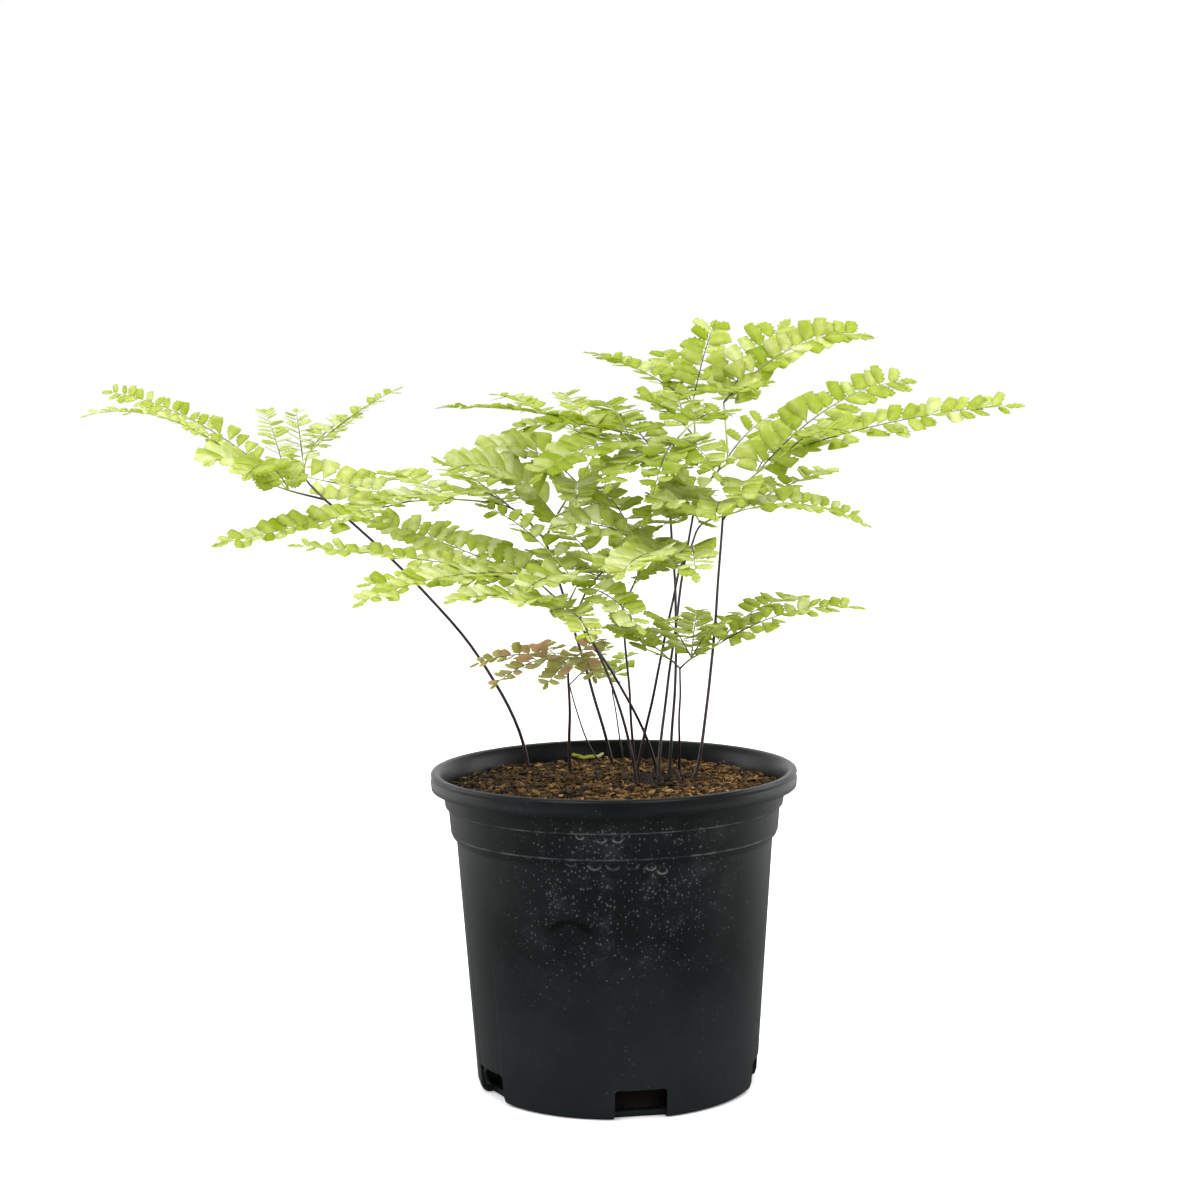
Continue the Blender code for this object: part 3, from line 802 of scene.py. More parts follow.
class Copies:
    """One mesh gathered from placed copies of moulds."""

    stalk_fade = 0.75

    def __init__(self) -> None:
        """Start with nothing."""
        self.points: list[np.ndarray] = []
        self.charts: list[np.ndarray] = []
        self.values: dict[str, list[float]] = {"rim": [], "tone": [], "age": [], "fade": []}
        self.faces: list[tuple[int, ...]] = []
        self.stalk: list[int] = []
        self.smooth: list[bool] = []
        self.count = 0

    def add(self, mould: Mould, at: Vector, axes: Sequence[Vector], tone: float,
            age: float = 0.0, droop: float = 0.0, cup: float = 0.0) -> None:
        """Place one copy.

        Args:
            mould: the shape.
            at: where its origin goes, in mm.
            axes: where its X, Y and Z axes go, in mm.
            tone: lightness, 0 to 1.
            age: how far it has turned brown, 0 to 1.
            droop: how far its far end hangs down, as a share of its length.
            cup: how far its sides rise, as a share of its length.
        """
        x, y, z = mould.points.T
        lifted = z - droop * np.clip(x, 0, None) ** 2 + cup * y ** 2
        matrix = np.array(axes)
        order = -1 if np.linalg.det(matrix) < 0 else 1
        self.faces += [tuple(self.count + index for index in face[::order]) for face in mould.faces]
        self.points.append(np.array(at) + np.stack([x, y, lifted], 1) @ matrix)
        self.charts.append(mould.chart)
        self.values["rim"].extend(mould.rim)
        for label, value in (("tone", tone), ("age", age), ("fade", self.stalk_fade)):
            self.values[label] += [value] * len(x)
        self.stalk += mould.stalk
        self.smooth += mould.smooth
        self.count += len(x)

    def gather(self, name: str) -> Piece:
        """Make the mesh object.

        Args:
            name: its name.

        Returns:
            The object, with the leaf map and the attributes rim, tone, age and fade.
        """
        mesh = bpy.data.meshes.new(name)
        mesh.from_pydata(np.concatenate(self.points) * MM, [], self.faces)
        obj = bpy.data.objects.new(name, mesh)
        bpy.context.scene.collection.objects.link(obj)
        for label, values in self.values.items():
            set_values(obj, label, values)
        corners = np.zeros(len(mesh.loops), np.int32)
        mesh.loops.foreach_get("vertex_index", corners)
        chart = np.concatenate(self.charts)[corners]
        mesh.uv_layers.new(name="leaf_map").data.foreach_set("uv", chart.ravel())
        mesh.polygons.foreach_set("material_index", self.stalk)
        mesh.polygons.foreach_set("use_smooth", self.smooth)
        mesh.validate()
        mesh.update()
        return obj


# ---- The pot ----

@dataclass
class NurseryPot:
    """Round moulded pot with a turned-down lip, two stepped bands and five drain notches.

    The four profiles are (radius, height) points that follow each other round the wall.
    """

    sides: int = 144
    rim_radius: float = 82.5
    notch_count: int = 5
    notch_heading: float = -81.0
    notch_width: float = 23.0
    notch_top: float = 13.5
    notch_corner: float = 1.6
    notch_inner_radius: float = 57.0
    cut_below: float = 5.0
    rounding: float = 0.35
    underside: tuple = ((16.6, 0.0), (18, 1.0), (48.6, 1.0), (50, 0))
    outside: tuple = ((59.6, 0), (61.0, 0.2), (62.8, 1.4), (63.6, 4.0), (71.3, 113), (73.1, 115.2),
                      (73.8, 116.9), (74.7, 127.4), (76.1, 128.6), (77.3, 136.0), (79.0, 141.6))
    lip: tuple = ((80.8, 141.4), (80.9, 136.4), (82.2, 136.4), (82.5, 139.7), (82.1, 141.3),
                  (82.5, 142.7), (82.0, 143.7), (80.6, 144.0), (79.0, 143.5))
    inside: tuple = ((77.2, 141.2), (75.8, 136.0), (74.7, 129.4), (73.3, 127.6), (72.4, 117.6),
                     (71.6, 115.8), (69.9, 113), (62.2, 6.0), (60.8, 3.4), (58.5, 2.4))

    def build(self, finish: MouldedPlastic) -> None:
        """Turn the shell, cut its notches, round its edges and dress it.

        Args:
            finish: the plastic.
        """
        pot = turned_shell("moulded_pot", self.underside + self.outside + self.lip + self.inside, self.sides)
        for index in range(self.notch_count):
            self._cut_notch(pot, math.radians(self.notch_heading + index * 360 / self.notch_count))
        apply_modifier(pot, "BEVEL", width=self.rounding * MM, segments=2, limit_method="ANGLE",
                       angle_limit=math.radians(28), use_clamp_overlap=True)
        take(pot)
        bpy.ops.object.shade_smooth_by_angle(angle=math.radians(30))
        put_in_place(pot, "pot_plastic", "pot", finish.material())

    def _cut_notch(self, pot: Piece, heading: float) -> None:
        """Cut one drain notch with rounded upper corners.

        Args:
            pot: the turned shell.
            heading: where round the foot, in radians.
        """
        deselect_all()
        middle = (self.notch_inner_radius + self.rim_radius) / 2
        tall = self.notch_top + self.cut_below
        centre = Vector((middle * math.cos(heading), middle * math.sin(heading), self.notch_top - tall / 2))
        bpy.ops.mesh.primitive_cube_add(
            size=MM, rotation=(0, 0, heading), location=centre * MM,
            scale=(self.rim_radius - self.notch_inner_radius, self.notch_width, tall))
        bpy.ops.object.transform_apply(location=False, rotation=False, scale=True)
        with editing() as cutter:
            pick(cutter, lambda place: place.z > 0)
            bpy.ops.mesh.bevel(offset=self.notch_corner * MM, segments=3, affect="EDGES")
        apply_modifier(pot, "BOOLEAN", operation="DIFFERENCE", solver="EXACT", object=cutter)
        bpy.data.objects.remove(cutter)


# ---- Potting mix, rhizome and the withered scrap ----

MIX_TOP = 136.6
MIX_EDGE = 134.6
MIX_RADIUS = 75.0
CROWN = (20.0, 3.0)  # where most stalks spring from the rootstock


def mix_height(radius: float) -> float:
    """Height of the mix's low mound at a distance from the pot's axis, before it is roughened."""
    return MIX_TOP - (MIX_TOP - MIX_EDGE) * min(radius / MIX_RADIUS, 1.0) ** 2.2


@dataclass(frozen=True)
class Litter:
    """One kind of bits strewn on the mix: how many, how long, and how light."""

    moulds: Sequence[Mould]
    count: int
    sizes: tuple[float, float]
    tones: tuple[float, float]


@dataclass
class PottingMix:
    """Root ball with a rough top that is strewn with chips, fibres and crumbs.

    The ball is rough above rough_above, and calms down over the last calm_width before calm_radius.
    Its tone is top_tone above lit_above and darker below, painted shade for the inside of the pot that
    shows through the notches. Bits are strewn out to reach and are shorter beyond short_beyond, so that
    they stay inside the wall. lumps holds the (size, height) of each kind of unevenness. dark_spot is
    where the litter is dark, over dark_reach.
    """

    sides: int = 120
    rings: int = 30
    seed: int = 21
    chips: int = 2500
    fibres: int = 900
    crumbs: int = 3200
    reach: float = 73.6
    wall: float = 75.2
    short_beyond: float = 66.0
    rough_above: float = 133.0
    calm_radius: float = 76.0
    calm_width: float = 6.0
    lit_above: float = 100.0
    top_tone: float = 0.18
    painted_shade_tone: float = -0.4
    dark_spot: tuple = (20.0, 4.0)
    dark_reach: float = 14.0
    lumps: tuple = ((11.0, 3.2), (3.0, 1.6))
    body: tuple = ((54.5, 2.8), (54.5, 11.5), (62.4, 17.5), (69.5, 112.8), (71.0, 115.6), (71.9, 117.6),
                   (72.9, 127.4), (74.3, 129.6), (75.2, 134.0))

    def build(self, finish: CoirMix) -> None:
        """Build the root ball and strew its top.

        Args:
            finish: the coir.
        """
        radii = [MIX_RADIUS * (1 - step / self.rings) + 0.5 for step in range(self.rings + 1)]
        top = tuple((radius, mix_height(radius)) for radius in radii)
        ball = turned_shell("coir_mix", self.body + top, self.sides)
        self._roughen(ball)
        strewn = self._strew()
        # Below lit_above the ball is painted dark: painted shade for the inside of the pot seen through the
        # notches.
        set_values(ball, "tone", [self.top_tone if vert.co.z > self.lit_above * MM else self.painted_shade_tone
                                  for vert in ball.data.vertices])
        join_to(ball, strewn)
        put_in_place(ball, "potting_mix", "potting_mix", finish.material())

    def _roughen(self, ball: Piece) -> None:
        """Raise and sink the top in lumps, less and less towards the wall.

        Args:
            ball: the root ball.
        """
        group = ball.vertex_groups.new(name="top")
        for vert in ball.data.vertices:
            if vert.co.z > self.rough_above * MM:
                calm = (self.calm_radius - vert.co.xy.length / MM) / self.calm_width
                group.add([vert.index], min(1.0, calm), "REPLACE")
        for size, strength in self.lumps:
            pattern = bpy.data.textures.new("lumps", "CLOUDS")
            pattern.noise_scale = size * MM
            apply_modifier(ball, "DISPLACE", texture=pattern, texture_coords="LOCAL", direction="Z",
                           strength=strength * MM, mid_level=0.5, vertex_group="top")
        ball.vertex_groups.clear()
        take(ball)
        bpy.ops.object.shade_smooth_by_angle(angle=math.radians(40))

    def _strew(self) -> Piece:
        """Copies of chips, fibres and crumbs all over the top.

        Returns:
            The litter.
        """
        rng = np.random.default_rng(self.seed)
        chips = [chip_mould((1.0, 0.42, 0.12), 0.05, 1), chip_mould((1.0, 0.6, 0.1), -0.03, 2),
                 chip_mould((1.0, 0.3, 0.16), 0.09, 3)]
        fibres = [chip_mould((1.0, 0.05, 0.05), 0.16, 4), chip_mould((1.0, 0.07, 0.05), -0.08, 5)]
        crumbs = [crumb_mould(6), crumb_mould(7)]
        made = Copies()
        for litter in (Litter(chips, self.chips, (1.7, 4.4), (0.25, 0.95)),
                       Litter(fibres, self.fibres, (3.0, 9.0), (0.3, 0.9)),
                       Litter(crumbs, self.crumbs, (0.9, 2.4), (0.1, 0.8))):
            for _ in range(litter.count):
                self._drop_bit(made, rng, litter)
        strewn = made.gather("strewn_chips")
        strewn.data.uv_layers.remove(strewn.data.uv_layers[0])
        return strewn

    def _drop_bit(self, made: Copies, rng: np.random.Generator, litter: Litter) -> None:
        """Drop one bit of litter somewhere on the top.

        Args:
            made: the copies so far.
            rng: source of random numbers.
            litter: its kind.
        """
        radius = self.reach * math.sqrt(rng.uniform(0, 1))
        turn = rng.uniform(0, FULL_TURN)
        x, y = radius * math.cos(turn), radius * math.sin(turn)
        size = rng.uniform(*litter.sizes) * (0.75 if radius > self.short_beyond else 1.0)
        size = min(size, 2 * (self.wall - radius) + 1.5)
        lump = noise.noise(Vector((x, y, 0)) / 11.0) * 1.6
        rest = mix_height(radius) + lump + rng.uniform(-0.5, 1.5)
        spin = rng.uniform(0, FULL_TURN)
        lean = Matrix.Rotation(rng.normal(0, 0.35), 3, "X") @ Matrix.Rotation(rng.normal(0, 0.3), 3, "Y")
        axes = Matrix.Rotation(spin, 3, "Z") @ lean
        near = math.exp(-(math.dist((x, y), self.dark_spot) / self.dark_reach) ** 2)
        tone = rng.uniform(*litter.tones) * (1 - 0.75 * near)
        mould = litter.moulds[rng.integers(len(litter.moulds))]
        made.add(mould, Vector((x, y, rest)), [axis * size for axis in axes.col], tone)


@dataclass
class Rhizome:
    """Creeping rootstock with side arms and a crown of dark stubs, the bases of old stipes.

    main and arms are routes of (x, y) points, all at one height.
    """

    seed: int = 8
    radius: float = 3.0
    height: float = 126.1
    main: tuple = ((-45, 50), (-30, 35), (-20, 25), (-5, 15), (10, 10), (25, 10), (30, 0), (40, -5))
    arms: tuple = (((10, 10), (10, 25), (0, 45), (5, 60), (-5, 65)),
                   ((20, 10), (15, 0), (15, -5), (10, -15)), ((20, 10), (20, 20), (30, 20)))
    stubs: int = 34
    roots: int = 26
    root_radius: float = 0.3

    def build(self, finish: StalkSkin) -> None:
        """Build the rootstock with its stubs and fine roots.

        Args:
            finish: its bark.
        """
        rng = np.random.default_rng(self.seed)
        strands = [self._stem(self.main, self.radius)]
        strands += [self._stem(arm, self.radius * 0.9) for arm in self.arms]
        strands += [self._stub(rng) for _ in range(self.stubs)]
        strands += [self._root(rng) for _ in range(self.roots)]
        rhizome = wire_stems("creeping_rhizome", strands, 1, finish.material())
        put_in_place(rhizome, "rhizome_skin", "rhizome")

    def _stem(self, route: tuple, radius: float) -> Strand:
        """Uneven stem along a route of (x, y) points."""
        points = smooth_route([Vector((x, y, self.height)) for x, y in route], 6)
        return Strand(points, [radius * (1 + 0.14 * noise.noise(point / 3.0)) for point in points])

    def _stub(self, rng: np.random.Generator) -> Strand:
        """Broken base of an old stipe near the crown.

        Args:
            rng: source of random numbers.

        Returns:
            The stub.
        """
        x, y = CROWN[0] + rng.normal(0, 7.5), CROWN[1] + rng.normal(0, 7.0)
        top = mix_height(math.hypot(x, y)) + rng.uniform(1.0, 6.5)
        lean = Vector((rng.normal(0, 2.4), rng.normal(0, 2.4), 0))
        foot, tip = Vector((x, y, self.height)), Vector((x, y, top)) + lean
        thick = rng.uniform(0.6, 1.15)
        return Strand([foot.lerp(tip, share) for share in (0, 0.5, 0.8, 1.0)],
                      [thick * share for share in (1.2, 1, 0.9, 0.55)])

    def _root(self, rng: np.random.Generator) -> Strand:
        """Fine dark root that arches over the mix near the crown.

        Args:
            rng: source of random numbers.

        Returns:
            The root.
        """
        x, y = CROWN[0] + rng.normal(0, 13), CROWN[1] + rng.normal(0, 12)
        turn = rng.uniform(0, FULL_TURN)
        reach = rng.uniform(6, 16)
        points = []
        for share in np.linspace(0, 1, 7):
            px = x + reach * share * math.cos(turn + share)
            py = y + reach * share * math.sin(turn + share)
            rise = 1.8 * math.sin(math.pi * share) - 0.2
            points.append(Vector((px, py, mix_height(math.hypot(px, py)) + rise)))
        return Strand(points, [self.root_radius] * len(points))


@dataclass
class WitheredScrap:
    """Curled yellow leaf scrap on the mix at the back of the pot."""

    middle: tuple = (-12.0, 66.0, 137.4)
    length: float = 15.0
    width: float = 5.0
    thickness: float = 0.3

    def build(self, finish: LeafTissue) -> None:
        """Curl a grid, thicken it and dress it.

        Args:
            finish: its tissue.
        """
        deselect_all()
        bpy.ops.mesh.primitive_grid_add(x_subdivisions=22, y_subdivisions=6, size=1.0)
        scrap = bpy.context.object
        scrap.name = scrap.data.name = "withered_scrap"
        shares = [vert.co.x + 0.5 for vert in scrap.data.vertices]
        set_values(scrap, "tone", [0.4 + 0.6 * min(1.0, max(0.0, x)) ** 2 for x in shares])
        set_values(scrap, "age", [0.35 * abs(math.sin(9 * x)) for x in shares])
        set_values(scrap, "rim", [0.0] * len(shares))
        for vert in scrap.data.vertices:
            vert.co = (Vector(self.middle) + self._curl(vert.co.x * 2, vert.co.y * 2)) * MM
        scrap.data.uv_layers[0].name = "leaf_map"
        apply_modifier(scrap, "SUBSURF", levels=1, render_levels=1)
        apply_modifier(scrap, "SOLIDIFY", thickness=self.thickness * MM, offset=0.0)
        bpy.ops.object.shade_smooth()
        put_in_place(scrap, "leaf_yellow", "fallen_leaf", finish.material())

    def _curl(self, along: float, across: float) -> Vector:
        """Where a point of the flat scrap goes, from its middle.

        Args:
            along: place along the scrap, -1 to 1.
            across: place across it, -1 to 1.

        Returns:
            The point, in mm.
        """
        wave = 0.8 * math.sin(along * 7.0) + 0.5 * math.sin(along * 15.0 + across * 2)
        ragged = 1 + 0.25 * noise.noise(Vector((along * 5, across, 0.3)))
        return Vector((along * self.length / 2,
                       across * self.width / 2 * (1 - 0.55 * along ** 4) * ragged,
                       1.6 * abs(along) ** 2.5 + 0.9 * across ** 2 + 0.35 * wave))


# ---- Fronds ----

@dataclass(frozen=True)
class Pinna:
    """One leafy finger: its node, heading, reach, rise of its tip and height of its arch.

    leaf is its longest leaflet, and tilt is how far their faces tip towards -Y.
    """

    node: int
    heading: float
    reach: float
    rise: float
    arch: float
    leaf: float
    tilt: float

    def point(self, start: Vector, share: float) -> Vector:
        """Point on the midrib.

        Args:
            start: place of the pinna's node.
            share: how far along, from 0 at its node to 1 at its tip.

        Returns:
            The point, in mm.
        """
        turn = math.radians(self.heading)
        return start + Vector((
            self.reach * share * math.cos(turn), self.reach * share * math.sin(turn),
            self.rise * share + 4 * self.arch * share * (1 - share)))


@dataclass
class Frond:
    """A stipe from the rhizome to its fork, and the leafy branches above the fork.

    branches holds (side, nodes, pinnae) for each. thick is the stipe's thickness, bow how late it
    leans towards its fork and sway how far it bends aside on the way. warm is how far its leaflets
    have turned brown, and pale how light they are. spacing goes with the gap between leaflets. fold
    is how far both rows of leaflets rise from the midrib, and level is how far each leaflet rolls
    from the plane of its pinna to the common tilt. foot holds the heights of the stipe's hidden end,
    wander is how far it strays over wander_size, thread is the radius of the finest stems,
    first_share is where the first leaflet sits, and tip_share is the length of the last one.
    """

    name: str
    root: tuple
    fork: tuple
    thick: float
    bow: float
    sway: float
    branches: tuple
    warm: float = 0.0
    pale: float = 0.62
    spacing: float = 4.8
    fold: float = 12.0
    level: float = 0.75
    stalk_steps: int = 22
    foot: tuple = (128.0, 133.0)
    foot_swelling: tuple = (1.5, 1.45, 1.3, 1.1)
    wander: float = 0.7
    wander_size: float = 22.0
    thread: float = 0.36
    first_share: float = 0.06
    tip_share: float = 0.75

    def build(self, skin: Material, tissue: Material, slot: str,
              moulds: dict[LeafletForm, Mould]) -> None:
        """Build the stalk and the leafy branches.

        Args:
            skin: material of stalks.
            tissue: material of leaflets.
            slot: the record's slot of the leaflets.
            moulds: the leaflets to copy.
        """
        self._build_stalk(skin)
        for index, (side, nodes, pinnae) in enumerate(self.branches):
            rng = np.random.default_rng(sum(ord(letter) for letter in self.name) * 7 + index)
            points = [Vector(node) for node in nodes]
            made = Copies()
            strands = [self._rachis(points)]
            for finger in (Pinna(*numbers) for numbers in pinnae):
                strands.append(self._midrib(points[finger.node], finger))
                self._leaf_out(made, rng, points[finger.node], finger, moulds)
            leaves = made.gather(f"{self.name}_{side}_leaves")
            leaves.data.materials.append(tissue)
            leaves.data.materials.append(skin)
            join_to(leaves, wire_stems(f"{self.name}_{side}_ribs", strands, 1, skin))
            put_in_place(leaves, slot, f"{self.name}_{side}_blade")

    def _build_stalk(self, skin: Material) -> None:
        """Wiry stalk with a thicker foot, from inside the rhizome to the fork.

        Args:
            skin: its material.
        """
        root, fork = self.root, self.fork
        points = [Vector((*root, height)) for height in self.foot]
        for step in range(self.stalk_steps + 1):
            share = step / self.stalk_steps
            lean, bend = share ** self.bow, math.sin(math.pi * share)
            spot = Vector((root[0] + (fork[0] - root[0]) * lean + self.sway * bend,
                           root[1] + (fork[1] - root[1]) * lean, MIX_TOP + (fork[2] - MIX_TOP) * share))
            own = Vector((len(self.name), 0, 0))
            shift = noise.noise_vector(spot / self.wander_size + own) * (bend * self.wander)
            points.append(spot + Vector((shift.x, shift.y, 0)))
        radii = [self.thick / 2 * (1 - 0.3 * i / (len(points) - 1)) for i in range(len(points))]
        for index, more in enumerate(self.foot_swelling):
            radii[index] *= more
        stalk = wire_stems(f"{self.name}_stalk", [Strand(points, radii)], 3, skin)
        put_in_place(stalk, "stipe_skin", f"{self.name}_stipe")

    def _rachis(self, nodes: Sequence[Vector]) -> Strand:
        """Branch from the fork through its nodes.

        Args:
            nodes: where its pinnae spring.

        Returns:
            The branch.
        """
        route = smooth_route([Vector(self.fork), *nodes], 6)
        shares = np.linspace(0, 1, len(route))
        thick = self.thick * self.thread
        return Strand(route, [thick + (self.thread - thick) * share for share in shares],
                      [0.12 * share for share in shares])

    def _midrib(self, start: Vector, finger: Pinna) -> Strand:
        """Thin midrib of a pinna, which fades to green towards its tip.

        Args:
            start: place of the pinna's node.
            finger: the pinna.

        Returns:
            The midrib.
        """
        shares = np.linspace(0, 0.985, 13)
        return Strand([finger.point(start, share) for share in shares],
                      [self.thread - 0.24 * share for share in shares],
                      [float(np.clip(share * 1.5 - 0.15, 0, 1)) for share in shares])

    def _leaf_out(self, made: Copies, rng: np.random.Generator, start: Vector, finger: Pinna,
                  moulds: dict[LeafletForm, Mould]) -> None:
        """Set leaflets along both sides of a pinna, and one at its tip.

        Args:
            made: the branch's leaflets so far.
            rng: source of random numbers.
            start: place of the pinna's node.
            finger: the pinna.
            moulds: the leaflets to copy.
        """
        tilt = math.radians(finger.tilt + rng.normal(0, 3))
        face = Vector((0, -math.sin(tilt), math.cos(tilt)))
        longest = finger.leaf * rng.uniform(0.95, 1.05)
        first, last = self.first_share, 1 - self.tip_share * longest / finger.reach
        pairs = max(4, round(finger.reach * last / (self.spacing * (0.5 + 0.06 * longest))))
        tone = rng.normal(self.pale, 0.06)
        for side in (1, -1):
            for index in range(pairs):
                share = first + (index + (0.0 if side > 0 else 0.5)) / pairs * (last - first)
                here = finger.point(start, share)
                tangent = (finger.point(start, share + 0.01) - here).normalized()
                rake = math.radians(8 + 26 * share + rng.normal(0, 6))
                out, ahead, up = self._leaflet_axes(tangent, face, -side, rake)
                turned = (Matrix.Rotation(rng.normal(0, 0.18), 3, out)
                          @ Matrix.Rotation(rng.normal(0.04, 0.13), 3, ahead))
                grown = min(1.0, 0.8 + share) * (1 - 0.36 * (max(0.0, share - 0.4) / 0.6) ** 1.2)
                length = longest * grown * rng.uniform(0.9, 1.1)
                broad = length * rng.uniform(0.9, 1.2)
                made.add(moulds[self._form(rng, share)], here,
                         (turned @ out * length, turned @ ahead * broad, turned @ up * length),
                         float(np.clip(tone + rng.normal(0, 0.2), 0, 1)),
                         self._age(rng), rng.uniform(-0.02, 0.12), rng.uniform(-0.15, 0.2))
        end = finger.point(start, last)
        tangent = (finger.point(start, 1.0) - end).normalized()
        across = face.cross(tangent).normalized()
        axes = [axis * (self.tip_share * longest) for axis in (tangent, across, tangent.cross(across))]
        made.add(moulds[LeafletForm.TIP], end, axes, float(np.clip(tone, 0, 1)), self.warm * 0.5, 0.05)

    @staticmethod
    def _form(rng: np.random.Generator, share: float) -> LeafletForm:
        """Kind of a leaflet, by how far along its pinna it grows; wedges come only near the node."""
        if share < 0.40:
            return LeafletForm.WEDGE if rng.uniform() < 0.6 else LeafletForm.OBLONG
        return LeafletForm.OBLONG if share < 0.86 else LeafletForm.FINGER

    def _leaflet_axes(self, tangent: Vector, face: Vector, side: int,
                      rake: float) -> tuple[Vector, Vector, Vector]:
        """Directions of a leaflet.

        Args:
            tangent: direction of the midrib.
            face: common tilt of the pinna's leaflets.
            side: 1 or -1, for the side of the midrib.
            rake: how far the leaflet leans towards the tip, in radians.

        Returns:
            Outwards, towards the pinna's tip, and up from its face.
        """
        across = tangent.cross(face).normalized() * side
        up = (face - tangent * face.dot(tangent)).normalized()
        fold = math.radians(self.fold)
        raised = across * math.cos(fold) + up * math.sin(fold)
        plane_up = up * math.cos(fold) - across * math.sin(fold)
        wanted = face * math.cos(fold) - across * math.sin(fold)
        out = raised * math.cos(rake) + tangent * math.sin(rake)
        normal = plane_up.lerp(wanted, self.level)
        normal = (normal - out * normal.dot(out)).normalized()
        ahead = out.cross(normal)
        return out, ahead if ahead.dot(tangent) > 0 else -ahead, normal

    def _age(self, rng: np.random.Generator) -> float:
        """How far one leaflet has turned brown: many in a warm frond, few in a green one."""
        if self.warm and rng.uniform() < self.warm:
            return float(rng.uniform(0.4, 0.8))
        return float(rng.uniform(0.25, 0.5)) if rng.uniform() < 0.012 else 0.0


